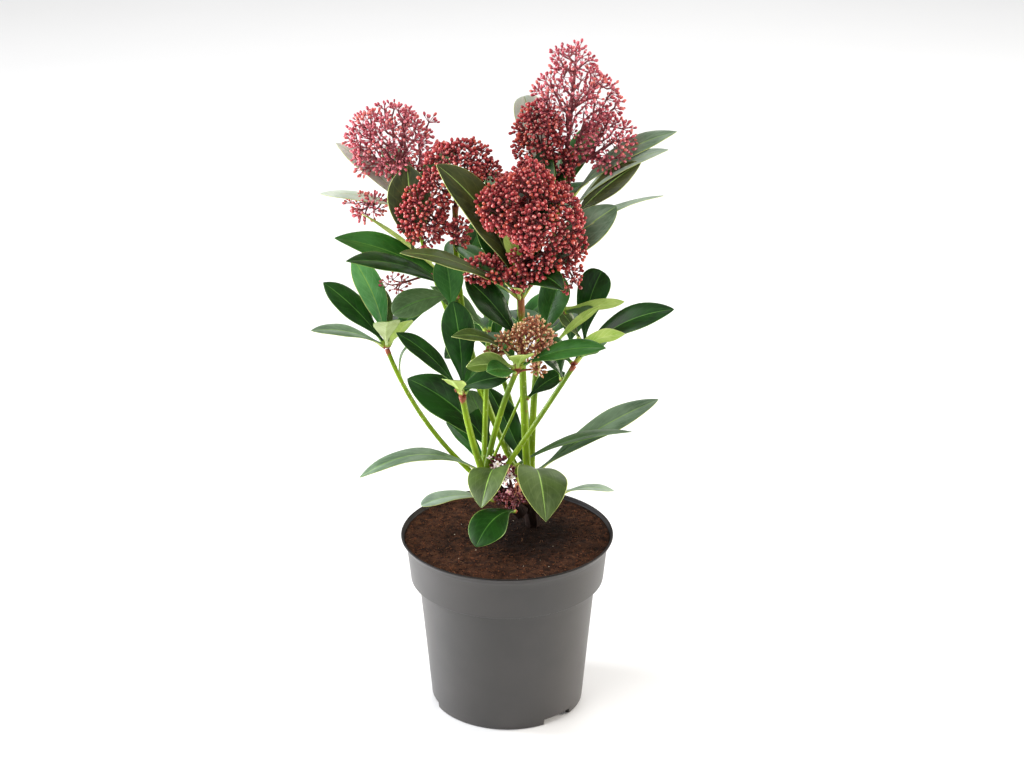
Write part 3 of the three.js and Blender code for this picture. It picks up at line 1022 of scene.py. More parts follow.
@dataclass
class Framework:
    """The trunk, the fork and all the stems."""

    stem_grid: tuple[int, int] = (16, 72)
    wood_grid: tuple[int, int] = (40, 60)
    collar: float = 0.5
    collar_length: float = 4.0
    head: float = 0.22
    head_length: float = 3.0
    scar_step: float = 17.0
    scar: float = 0.09
    scar_width: float = 0.8
    seed: int = 5

    def build(self) -> None:
        """Builds each limb from one tube."""
        rng = random.Random(self.seed)
        tube = tube_shape(*self.stem_grid)
        for limb in LIMBS:
            self._stem(tube, limb, rng)
        tube = tube_shape(*self.wood_grid)
        for limb in WOOD:
            self._wood(tube, limb)

    def _stem(self, tube: Shape, limb: Limb, rng: random.Random) -> None:
        """Builds one green stem, with a collar at its foot, leaf scars and a swelling under its whorl."""
        share = tube.points[:, 2]
        turn = np.arctan2(tube.points[:, 1], tube.points[:, 0])
        length = limb.path.length()
        reach = share * length
        radius = limb.radius(share) * (1 + self.collar * np.exp(-reach / self.collar_length))
        radius *= 1 + self.head * np.exp(-(((length - reach) / self.head_length) ** 2))
        radius *= 1 + limb.ridges * np.cos(3 * turn + rng.uniform(0, 6.3) + reach / 30)
        scar = rng.uniform(0.4, 1.0) * self.scar_step
        while scar < length - 6:
            side = rng.uniform(0, FULL_TURN)
            bump = np.exp(-(((reach - scar) / self.scar_width) ** 2)) * (0.6 + 0.4 * np.cos(turn - side))
            radius *= 1 + self.scar * bump
            scar += self.scar_step * rng.uniform(0.5, 1.4)
        ripe = np.interp(share, [0, limb.ripe_foot, limb.ripe_from, limb.ripe_to], [0.4, 0, 0, limb.ripeness])
        ripe += 0.5 * (radius / limb.radius(share) > 1.06 + limb.ridges)
        limb.finish(tube, radius, ripe, STEM, "green_stem")

    @staticmethod
    def _wood(tube: Shape, limb: Limb) -> None:
        """Builds a woody limb, with fissures that run along it and knobs."""
        share = tube.points[:, 2]
        radius = limb.radius(share)
        for index, (x, y, z) in enumerate(tube.points):
            fissures = noise.fractal(Vector((x * 2.2, y * 2.2, z * 1.1)), 0.9, 2.2, 4)
            knobs = noise.noise(Vector((x * 1.1, y * 1.1, z * 3.2)))
            radius[index] *= 1 + limb.ridges * (fissures + knobs) / 2
        limb.finish(tube, radius, np.clip((share - 0.72) / 0.2, 0, 1) * 0.9, TRUNK_IN_PAINTED_SHADE, "bark")


# ---------------- Leaves ----------------


@dataclass(frozen=True)
class Leaf:
    """One leaf: which way its tip lies from the node, and how big, rolled, arched and folded it is.

    turn is from +X about Z, rise is from level, both in degrees. roll is about the line to the tip.
    arch is the height of its back as a share of its length. fold is how far each half is turned up.
    taper is high for a sharp tip and low for a blunt one. foot is where it grows, if not at the node.
    """

    turn: float
    rise: float
    length: float
    width: float
    roll: float = 0.0
    shade: Shade | Under = Shade.MID
    arch: float = 0.07
    under: Under = Under.SAGE
    fold: float = 12.0
    taper: float = 0.86
    foot: Point | None = None


def fan(
    count: int, first: float, last: float, rise: float, length: float, width: float, shade: Shade = Shade.MID
) -> list[Leaf]:
    """Leaves spread evenly over a stretch of turn, long and steep by turns with short and low."""
    leaves = []
    for index in range(count):
        turn = first + (last - first) * (index + 0.5) / count
        low = index % 2
        leaves.append(Leaf(turn, rise - 22 * low, length * (1 - 0.12 * low), width, 0, shade, 0.09))
    return leaves


DEEP, MID, FRESH, GREY, OLIVE, SILVER_SHEEN, DULL, PALE_SHEEN = Shade
LIME, SAGE, FROST_SHEEN, MOSS, PEAR = Under
PALE_EDGED = (FRESH, OLIVE, DULL, SILVER_SHEEN, PALE_SHEEN, FROST_SHEEN)

# The leaves round each node: its name and its place in millimetres, then the leaves.
WHORLS: list[tuple[str, Point, list[Leaf]]] = [
    ("leaves_left", (-71, -2, 234), [
        Leaf(142, 63, 57, 19, -15, FRESH), Leaf(168, 45, 54, 18, -30, DEEP),
        Leaf(190, 17, 47, 11, -18, PALE_SHEEN, 0.1), Leaf(276, 46, 36, 16.5, 2, under=PEAR, taper=0.45),
        Leaf(108, 70, 35, 10, 8, DULL, foot=(-70, 1, 234)), Leaf(330, 50, 27, 14, -25, FRESH, under=LIME),
        *fan(2, 25, 90, 30, 44, 16, DEEP), Leaf(330, 77, 28, 5, 30, GREY, 0.16, foot=(-62.5, -3, 210.5)),
    ]),
    ("leaves_front_left", (-26, -34, 217), [
        Leaf(122, 80, 56, 20, -15, DEEP, taper=0.62), Leaf(167, 42, 53, 14.5, -22, DEEP),
        Leaf(254, 40, 27, 14.5, -5, under=LIME, taper=0.6),
        Leaf(2, 15, 34, 12.5, 60, DEEP, foot=(-31, -37, 220.6)), Leaf(72, 20, 30, 14),
        Leaf(20, 30, 26, 12, 20, DEEP),
    ]),
    ("leaves_front", (6, -32, 233), [
        Leaf(208, 12, 34, 17, 62, FRESH, under=MOSS), Leaf(232, 20, 30, 13, -36, foot=(6, -33, 230)),
        Leaf(283, 36, 30, 15, under=LIME), Leaf(344, 19, 56, 16, 30, arch=0.1),
        Leaf(120, 20, 34, 14, 10, arch=0.12), Leaf(198, 27, 41, 13, -10, DULL, 0.16, foot=(3, -31, 238)),
        Leaf(164, 66, 30, 19, -30, DEEP, 0.05, foot=(32.6, -24, 221)),
    ]),
    ("leaves_mid_left", (-11, 8, 239), [
        Leaf(232, 13, 30, 14, -20, DEEP), Leaf(158, 34, 44, 13, -25, GREY),
        Leaf(190, -28, 30, 13, -40, DEEP), *fan(2, 75, 105, 12, 50, 16),
    ]),
    ("leaves_centre_low", (9, -9, 238), [
        Leaf(191, 53, 56, 20, -60, DEEP, taper=0.7), Leaf(60, 8, 44, 17, 10, DEEP),
    ]),
    ("leaves_centre", (8, -12, 268), [
        Leaf(187, 60, 97, 27, -52, OLIVE), Leaf(206, 28, 86, 19, -16, DULL, fold=6),
        Leaf(312, 23, 40, 16, 38, DEEP, 0.26), Leaf(18, 41, 78, 25, 34, PALE_SHEEN, fold=5, taper=0.6),
        Leaf(22, 30, 105, 13, -12, SILVER_SHEEN, 0.14), Leaf(66, 66, 90, 24, 0, DEEP),
        Leaf(50, 59, 83, 20, -20, DEEP), Leaf(105, 55, 62, 19), Leaf(150, 30, 52, 18),
        Leaf(258, 31, 36, 11, -20, under=LIME),
        Leaf(350, 75, 46, 21, 68, arch=0.05, taper=0.6, foot=(21.5, 4, 233)),
        Leaf(167, 57, 49, 19, -30, DEEP, foot=(8, -8, 268)),
        Leaf(214, 73, 36, 9, 40, under=LIME, taper=0.6, foot=(8, -14, 276)),
    ]),
    ("leaves_right_low", (21, 15, 229), [
        Leaf(14, 79, 51, 20, 52, DEEP, taper=0.42, foot=(47, 13, 226)),
        Leaf(180, 56, 24, 10, -40, DULL, 0.05, foot=(44, 12, 233)),
        Leaf(352, 10, 39, 9, -64, FRESH, 0.02, LIME, foot=(31.5, 9, 254.2)),
        Leaf(345, 8, 22, 6, 50, GREY, 0.03, foot=(33, 9, 252)),
        Leaf(351, 44, 39, 6.5, -62, FRESH, 0.05, LIME, foot=(27, 0, 234)),
        Leaf(85, 20, 37, 16, 20, DEEP, foot=(38, 14, 227)), *fan(3, 50, 125, 8, 46, 18),
    ]),
    ("leaves_right_top", (31, 24, 312), [
        Leaf(128, 74, 59, 21, -15, FROST_SHEEN, taper=0.36, foot=(20, 32, 318)),
        Leaf(4, 33, 76, 18, 22, PALE_SHEEN, 0.1, FROST_SHEEN, foot=(36, 25, 316)),
        # These two leaves stand for one leaf folded along its rib: the silver one is its half with a painted
        # sheen, the olive one its half in painted shade.
        Leaf(356, 37, 74, 12, 24, SILVER_SHEEN, 0.1, foot=(35, 20, 306)),
        Leaf(353, 43, 58, 17, 46, OLIVE, 0.06, foot=(36, 19, 304)), *fan(3, 45, 130, 42, 62, 18),
    ]),
    ("leaves_right", (39, -26, 233), [
        Leaf(2, 30, 67, 18, 34, DEEP, 0.13), Leaf(341, 25, 35, 11.5, -62, under=LIME, foot=(38, -28, 242)),
        Leaf(133, 10, 24, 14, -10), Leaf(72, -6, 44, 15, 20, DEEP), Leaf(60, 5, 36, 15),
        Leaf(19, 30, 29, 12, 40, DEEP, 0.06, foot=(11, -9, 203)),
    ]),
    ("leaves_left_top", (-29, 14, 264), [
        Leaf(185, 26.5, 81, 21, -32, arch=0.1, foot=(-29, 14, 263)),
        Leaf(209, 25, 78, 19, -22, DEEP, 0.1, foot=(-31, 14, 261.6)),
        Leaf(111, 81, 56, 27, -22, OLIVE, 0.06, foot=(-55, 6, 287)),
        Leaf(210, -3, 45, 18, -46, GREY, 0.1, taper=0.55, foot=(-28, 14, 260)), *fan(2, 45, 110, 40, 58, 17),
        Leaf(174, 39, 73, 12, 6, LIME, 0.04, LIME),
        Leaf(120, 78, 38, 19, -40, arch=0.03, foot=(-33, 2, 253)),
    ]),
    ("leaves_back_left_top", (-56, 31, 306), [
        Leaf(166, 41, 62, 17, -22, FROST_SHEEN), Leaf(186, 15, 57, 15, 0, FROST_SHEEN, 0.08, fold=5),
        *fan(3, 40, 125, 34, 54, 17),
    ]),
    ("leaves_back", (-6, 44, 207), fan(5, 10, 170, 42, 62, 18)),
    ("leaves_back_top", (9, 46, 290), fan(6, 0, 165, 34, 50, 18)),
    ("leaves_base_left", (-11, -6, 152), [
        Leaf(150, 33, 80, 27, -28, DEEP, 0.09, foot=(-3, 0, 156)), Leaf(195, 6, 80, 17, -8, PALE_SHEEN, 0.17),
        Leaf(201, 6, 49, 12, -10, SILVER_SHEEN, 0.1, taper=0.5, foot=(-6, -7, 136)),
        Leaf(157, 65, 34, 14, -50, GREY, foot=(-10, 16, 166)), Leaf(131, 29, 46, 12, -5),
    ]),
    ("leaves_base_low", (-5, -17, 154), [Leaf(257, 3, 44, 27, 12, DULL, 0.34, fold=20, taper=0.95)]),
    ("leaves_base_front", (8, -5, 131), [
        Leaf(236, -9, 44, 22, -26, DEEP, 0.16, fold=6, taper=0.7, foot=(6, -10, 131.2)),
    ]),
    ("leaves_base_right", (14, 2, 148), [
        Leaf(18, 26, 92, 18, 20, PALE_SHEEN, 0.06), Leaf(5, 16.5, 77, 10.5, 8, GREY, 0.09, foot=(2, 0, 154)),
        Leaf(16, -5, 35, 7, 14, SILVER_SHEEN, 0.08, foot=(32, -2, 139)),
        Leaf(278, -6, 57.5, 32, -14, DULL, 0.26, fold=14, taper=0.95, foot=(15, 2, 151)),
        Leaf(126, 45, 63, 19, -10, DEEP), Leaf(105, 5, 62, 18, arch=0.12),
    ]),
]


@dataclass
class Foliage:
    """Every leaf of the plant, each laid from one modelled blade."""

    columns: tuple[float, ...] = (-1, -0.972, -0.74, -0.43, -0.14, -0.025, 0.025, 0.14, 0.43, 0.74, 0.972, 1)
    rows: int = 26
    crowding: float = 0.6
    last_row: float = 0.9985
    swell: float = 1.3
    stalk_share: float = 0.11
    stalk_rows: float = 4.2
    stalk_radius: float = 1.0
    half_thickness: float = 0.22
    least_half_width: float = 0.15
    waves: float = 2.3
    rib: float = 0.5
    rib_width: float = 0.1
    seed: int = 3

    def build(self) -> None:
        """Builds one joined piece of leaves for each whorl."""
        self.shape = self._model_blade()
        self.u, self.t, self.side = self._map()
        rng = random.Random(self.seed)
        for node, middle, leaves in WHORLS:
            bundle = Bundle()
            for leaf in leaves:
                bundle.add(self.shape, self._lay(leaf, middle, rng), self._marks(leaf), self.spots)
            finished(bundle.build(node.replace("leaves", "foliage"), LEAF_FINISHES), "leaf", node)

    def _model_blade(self) -> Shape:
        """Models the blade: a grid with a thin wall, from -1 to 1 across X and along Y."""
        grid = bpy.ops.mesh.primitive_grid_add
        piece = primitive(grid, x_subdivisions=len(self.columns) - 1, y_subdivisions=self.rows, size=2)
        apply_modifier(piece, "SOLIDIFY", thickness=0.02, offset=0)
        return Shape.taken_from(piece)

    def _map(self) -> tuple[np.ndarray, np.ndarray, np.ndarray]:
        """Spreads the grid's lines: narrow strips at the rib and margins, short rows at both ends.

        Returns:
            The place across from -1 to 1, the share of the length and the side of each point.
        """
        points = self.shape.points
        across = np.interp(points[:, 0], np.linspace(-1, 1, len(self.columns)), self.columns)
        step = (points[:, 1] + 1) / 2
        along = (step - self.crowding * np.sin(FULL_TURN * step) / FULL_TURN) * self.last_row
        self.spots = np.stack([(across + 1) / 2, along], axis=1)
        return across, along, np.sign(points[:, 2])

    def _marks(self, leaf: Leaf) -> np.ndarray:
        """The finish of each face: the leaf's shades, with rib, margin and stalk apart."""
        middles, up = self.shape.middles, self.shape.normals[:, 2]
        column = 2 / (len(self.columns) - 1)
        pale = leaf.shade in PALE_EDGED
        top_rib = LeafPart.PALE_RIB if pale else LeafPart.DARK_RIB
        edge = LeafPart.PALE_MARGIN if pale or leaf.under is Under.LIME else LeafPart.DARK_MARGIN
        rib = np.abs(middles[:, 0]) < column * 0.6
        margin = np.abs(middles[:, 0]) > 1 - column
        stalk = (middles[:, 1] + 1) / 2 < self.stalk_rows / self.rows
        marks = np.where(up > 0, int(leaf.shade), int(leaf.under))
        marks = np.where(rib, np.where(up > 0, int(top_rib), int(LeafPart.UNDER_RIB)), marks)
        marks = np.where(margin | (np.abs(up) < 0.5), int(edge), marks)
        return np.where(stalk, int(LeafPart.STALK), marks)

    def _half_width(self, width: float, taper: float) -> np.ndarray:
        """Half the leaf's width at each point: a slim stalk, widest past the middle, then the tip."""
        t = np.clip((self.t - self.stalk_share) / (1 - self.stalk_share), 0, 1)
        peak = self.swell / (self.swell + taper)
        top = peak**self.swell * (1 - peak) ** taper
        blade = t**self.swell * (1 - t) ** taper / top * width / 2
        stalk = self.stalk_radius * (1 - self.t)
        return np.sqrt(blade**2 + stalk**2 + self.least_half_width**2)

    def _lay(self, leaf: Leaf, middle: Point, rng: random.Random) -> np.ndarray:
        """Lays the blade out as one leaf.

        Args:
            leaf: The leaf.
            middle: The node that it grows from.
            rng: The source of chance.

        Returns:
            The leaf's points.
        """
        a, r, s = (math.radians(value) for value in (leaf.turn, leaf.rise, leaf.roll))
        chord = np.array([math.cos(r) * math.cos(a), math.cos(r) * math.sin(a), math.sin(r)])
        level = np.array([-math.sin(a), math.cos(a), 0.0])
        back = np.cross(chord, level)
        across = level * math.cos(s) + back * math.sin(s)
        bend, twist = rng.uniform(-0.03, 0.03), rng.uniform(-0.25, 0.25)
        fold = math.radians(leaf.fold + rng.uniform(-4, 5))
        curl, wave, phase = rng.uniform(0.04, 0.16), rng.uniform(0.02, 0.07), rng.uniform(0, 6.3)
        u, t, side = self.u, self.t, self.side
        arch = 4 * (back * leaf.arch + across * bend)
        line = np.array(leaf.foot or middle, float) + chord * (1 + (leaf.length - 1) * t)[:, None]
        line += arch * (leaf.length * t * (1 - t))[:, None]
        tangent = unit(chord + arch * (1 - 2 * t)[:, None])
        wide = unit(across - tangent * (tangent @ across)[:, None])
        face = np.cross(tangent, wide)
        angle = (twist * (t - 0.3))[:, None]
        wide, face = wide * np.cos(angle) + face * np.sin(angle), face * np.cos(angle) - wide * np.sin(angle)
        half = self._half_width(leaf.width, leaf.taper + rng.uniform(-0.06, 0.08))
        stalk = 1 / (1 + (t / (self.stalk_share * 1.1)) ** 4)
        open_fold = fold * (1 - stalk)
        lift = half * (np.abs(u) * np.sin(open_fold) - curl * u**4)
        lift += half * wave * np.abs(u) ** 3 * np.sin(FULL_TURN * self.waves * t + phase + 1.5 * np.sign(u))
        depth = self.half_thickness * (1 - 0.5 * u**8) + stalk * 0.75 * self.stalk_radius
        rib = self.rib * np.exp(-((u / self.rib_width) ** 2)) * (1 - 0.8 * t) * (1 - stalk)
        lift += np.where(side > 0, depth - 0.35 * rib, -depth - rib)
        spread = -u * half * np.cos(open_fold)
        return line + wide * spread[:, None] + face * lift[:, None]


# ---------------- Panicles ----------------


@dataclass(frozen=True)
class Lobe:
    """One rounded part of a panicle: its middle and its half sizes, in millimetres."""

    middle: Point
    half: Point
    power: float = 1.6
    least: float = 0.3
    packing: float = 0.866
    bump_scale: float = 2.4
    depths: Pair = (0.84, 1.0)
    upward: float = 0.35
    wander: float = 0.6

    def share(self, place: np.ndarray) -> float:
        """How far out a place lies: 1 is the lobe's skin."""
        return float(np.linalg.norm((place - np.array(self.middle)) / np.array(self.half)))

    def sprays(
        self, spacing: float, inset: float, depth: float, bumps: float, rng: random.Random
    ) -> list[tuple[np.ndarray, np.ndarray]]:
        """Spreads sprays evenly over the lobe, by turning a golden angle from one to the next.

        Args:
            spacing: How far they stand apart.
            inset: How far they stay under the skin.
            depth: The share of the lobe's size that they lie at.
            bumps: How far the skin swells and sinks, as a share of its size.
            rng: The source of chance.

        Returns:
            For each spray its place and the way that it faces.
        """
        full = np.array(self.half)
        half = np.maximum(full - inset, full * self.least) * depth
        a, b, c = half
        mean = ((a * b) ** self.power + (a * c) ** self.power + (b * c) ** self.power) / 3
        area = 2 * FULL_TURN * mean ** (1 / self.power)
        count = max(3, round(area / (self.packing * spacing**2)))
        golden = math.pi * (3 - math.sqrt(5))
        start = rng.uniform(0, FULL_TURN)
        found = []
        for index in range(count):
            height = 1 - 2 * (index + 0.5) / count
            angle = start + index * golden + rng.uniform(-self.wander, self.wander) / math.sqrt(count)
            ring = math.sqrt(1 - height**2)
            way = np.array([ring * math.cos(angle), ring * math.sin(angle), height])
            swell = 1 + bumps * noise.noise(Vector(way * self.bump_scale) + Vector(self.middle))
            place = np.array(self.middle) + way * half * swell * rng.uniform(*self.depths)
            found.append((place, unit(unit(way / half) + np.array([0, 0, self.upward]))))
        return found


@dataclass
class Branching:
    """The branches of one panicle, as points that each know the one before them."""

    points: list[np.ndarray]
    headings: list[np.ndarray]
    before: list[int]
    paths: list[float]
    loads: list[int]
    turn_cost: float = 0.9
    path_cost: float = 0.3
    handles: Pair = (0.35, 0.3)

    @classmethod
    def along(cls, line: list[np.ndarray]) -> "Branching":
        """Starts with a main axis along a line of points."""
        made = cls([line[0]], [unit(line[1] - line[0])], [-1], [0.0], [0])
        for place in line[1:]:
            made._step(place, len(made.points) - 1)
        return made

    def _step(self, place: np.ndarray, before: int) -> int:
        """Adds one point after another and gives its number."""
        away = place - self.points[before]
        self.points.append(place)
        self.headings.append(unit(away))
        self.before.append(before)
        self.paths.append(self.paths[before] + float(np.linalg.norm(away)))
        self.loads.append(0)
        return len(self.points) - 1

    def reach(self, place: np.ndarray, facing: np.ndarray, steps: int = 3) -> int:
        """Grows a curved branch to a place from the point that gets there most directly.

        Args:
            place: Where the branch ends.
            facing: The way that it points there.
            steps: How many stretches it has.

        Returns:
            The number of its last point.
        """
        away = place - np.array(self.points)
        distance = np.linalg.norm(away, axis=1) + 1e-6
        turn = 1 - np.sum(away / distance[:, None] * np.array(self.headings), axis=1)
        cost = distance * (1 + self.turn_cost * turn) + self.path_cost * np.array(self.paths)
        last = int(np.argmin(cost))
        foot, span = self.points[last], float(distance[last])
        first = foot + (self.headings[last] + unit(away[last])) / 2 * span * self.handles[0]
        second = place - facing * span * self.handles[1]
        for index in range(1, steps + 1):
            t = index / steps
            bent = foot * (1 - t) ** 3 + first * 3 * t * (1 - t) ** 2
            bent = bent + second * 3 * t**2 * (1 - t) + place * t**3
            last = self._step(bent, last)
        return last

    def carry(self, end: int) -> None:
        """Adds one spray's load to every point down to the foot."""
        while end >= 0:
            self.loads[end] += 1
            end = self.before[end]


@dataclass(frozen=True)
class Panicle:
    """One panicle: where its axis runs, its lobes, and how its buds look.

    A lobe is a middle and three half sizes. layers holds a depth, as a share of the lobe's size, and a
    factor on the spacing for each layer of sprays. bud is a bud's width and height, and pedicel the
    shortest and longest stalk. weights says how often each of the three tones of bud comes.
    """

    name: str
    node: str | None
    axis: list[Point]
    lobes: list[tuple[float, ...]]
    spacing: float
    seed: int
    bud: Pair
    buds: int = 7
    pedicel: Pair = (2.0, 3.8)
    finishes: list[Finish] = field(default_factory=lambda: BUDS)
    wood: list[Finish] = field(default_factory=lambda: BRANCHLETS)
    layers: tuple[Pair, ...] = ((1.0, 1.0), (0.66, 1.25))
    weights: tuple[int, int, int] = (5, 4, 2)
    thickness: float = 1.0
    slot: str = "bud"


DENSE = {"layers": ((1.0, 1.0), (0.8, 1.15), (0.55, 1.3))}
LOOSE = {"layers": ((1.0, 1.0), (0.6, 1.3))}
OPEN = {"finishes": OPEN_BUDS, "wood": OPEN_BRANCHLETS}

PANICLES = [
    Panicle(
        "panicle_left_top", "flowers_left_top",
        [(-57, 31, 308), (-60, 32, 322), (-66, 32, 348), (-68, 32, 370)],
        [(-68, 32, 351, 31, 26, 25), (-55, 32, 332, 14, 13, 15)],
        9.0, 21, (1.75, 2.9), pedicel=(2.4, 4.6), weights=(5, 2, 2), thickness=1.45, **OPEN, **LOOSE,
    ),
    Panicle(
        "panicle_left", "flowers_left", [(-29, 11, 290), (-30, 10, 318), (-30, 8, 340), (-29, 7, 352)],
        [(-28, 7, 344, 22, 18, 19), (-10, 6, 341, 11, 10, 13), (-48, 3, 315, 18, 17, 23),
         (-28, 0, 305, 9, 9, 14), (-39, 4, 332, 14, 14, 15)],
        8.4, 22, (2.1, 2.9), **DENSE,
    ),
    Panicle(
        "panicle_front", "flowers_front", [(8, -13, 274), (8, -14, 292), (11, -17, 320), (13, -19, 345)],
        [(13, -19, 339, 17, 20, 18), (-1, -19, 327, 19, 22, 18), (29, -19, 318, 18, 22, 25),
         (16, -19, 322, 21, 29, 24), (18, -18, 298, 20, 18, 18), (-12, -12, 287, 18, 15, 11),
         (32, -16, 302, 16, 15, 17), (6, -20, 283, 11, 11, 10)],
        8.9, 23, (2.3, 2.9), **DENSE,
    ),
    Panicle(
        "panicle_right", "flowers_right", [(31, 24, 312), (33, 26, 326), (37, 27, 365), (40, 27, 404)],
        [(37.5, 27, 396.5, 18, 15, 19), (40, 27, 377, 30, 22, 25), (61, 25, 352, 19, 18, 22),
         (38, 26, 357, 17, 16, 20)],
        9.2, 24, (1.8, 2.9), pedicel=(2.4, 4.6), layers=((1.0, 1.0), (0.6, 1.6)), thickness=1.45, **OPEN,
    ),
    Panicle(
        "panicle_right_low", None, [(31, 24, 312), (28, 23, 326), (22, 21, 345)],
        [(18, 20, 357, 18, 15, 25), (32, 20, 338, 13, 12, 15)], 8.6, 28, (2.0, 2.9), **DENSE,
    ),
    Panicle(
        "panicle_small", "flowers_small", [(6, -32, 230), (8, -31, 240), (13, -31, 252)],
        [(15, -30, 250, 15, 12, 17), (-1, -33, 251, 8, 6, 7), (-7, -33, 243, 5, 4, 3),
         (-2, -32, 231, 5, 4, 4), (18, -28, 231, 5, 4, 6)],
        6.2, 25, (1.6, 2.7), 6, (1.8, 3.6), WITHERED_BUDS, OLD_BRANCHLETS, thickness=1.2, slot="withered_bud",
    ),
    Panicle(
        "panicle_base", "flowers_base", [(2, -8, 138), (3, -12, 141), (4, -16, 146)],
        [(3, -17, 143, 12, 8, 8), (1, -16, 158, 6, 5, 8), (-5, -16, 166, 5, 4, 5)],
        5.4, 26, (2.0, 2.5), 5, (1.6, 3.0), LOW_BUDS,
    ),
    Panicle(
        "sprig_left_top", None, [(-60, 32, 322), (-70, 31, 316), (-78, 29, 313)],
        [(-83, 28, 312, 15, 12, 12)],
        6.8, 29, (1.75, 2.9), 6, (2.2, 4.2), weights=(5, 2, 2), thickness=1.3, **OPEN, **LOOSE,
    ),
    Panicle(
        "panicle_back", "flowers_back", [(9, 46, 290), (9, 47, 302), (9, 50, 314), (9, 50, 325)],
        [(9, 50, 312, 24, 21, 18), (-8, 47, 303, 13, 12, 12), (25, 48, 304, 13, 12, 12)],
        9.0, 30, (2.3, 2.9), **LOOSE,
    ),
    Panicle(
        "sprig_front_right", None, [(30, -16, 297), (35, -15, 289), (38, -14, 283)],
        [(38, -14, 282, 9, 8, 13)], 6.8, 31, (2.0, 2.7), 5, (2.2, 4.2), layers=((1.0, 1.0), (0.5, 1.4)),
    ),
    Panicle(
        "sprig_left", None, [(-36, 12, 272), (-45, 10, 276), (-58, 9, 272)], [(-66, 8, 270, 11, 8, 11)],
        6.6, 27, (1.7, 2.6), 6, (2.2, 4.4), layers=((1.0, 1.0),), thickness=1.3, **OPEN,
    ),
]


def stood(shape: Shape, foot: np.ndarray, way: np.ndarray, size: Pair, turn: float) -> np.ndarray:
    """Stands a shape on a foot.

    Args:
        shape: The shape, along Z.
        foot: Where it stands.
        way: The way that its Z points.
        size: Its width and its height, as factors.
        turn: Its turn about its own line.

    Returns:
        Its points.
    """
    side, over = turn_frames(way)
    x, y, z = shape.points.T
    c, s = math.cos(turn) * size[0], math.sin(turn) * size[0]
    return foot + np.outer(x * c - y * s, side) + np.outer(x * s + y * c, over) + np.outer(z * size[1], way)


def stretched(tube: Shape, start: np.ndarray, end: np.ndarray, first: float, last: float) -> np.ndarray:
    """Lays a tube from start to end, with its radius from first to last, and gives its points."""
    side, over = turn_frames(unit(end - start))
    x, y, t = tube.points.T
    radius = first + (last - first) * t
    return start + np.outer(t, end - start) + np.outer(x * radius, side) + np.outer(y * radius, over)


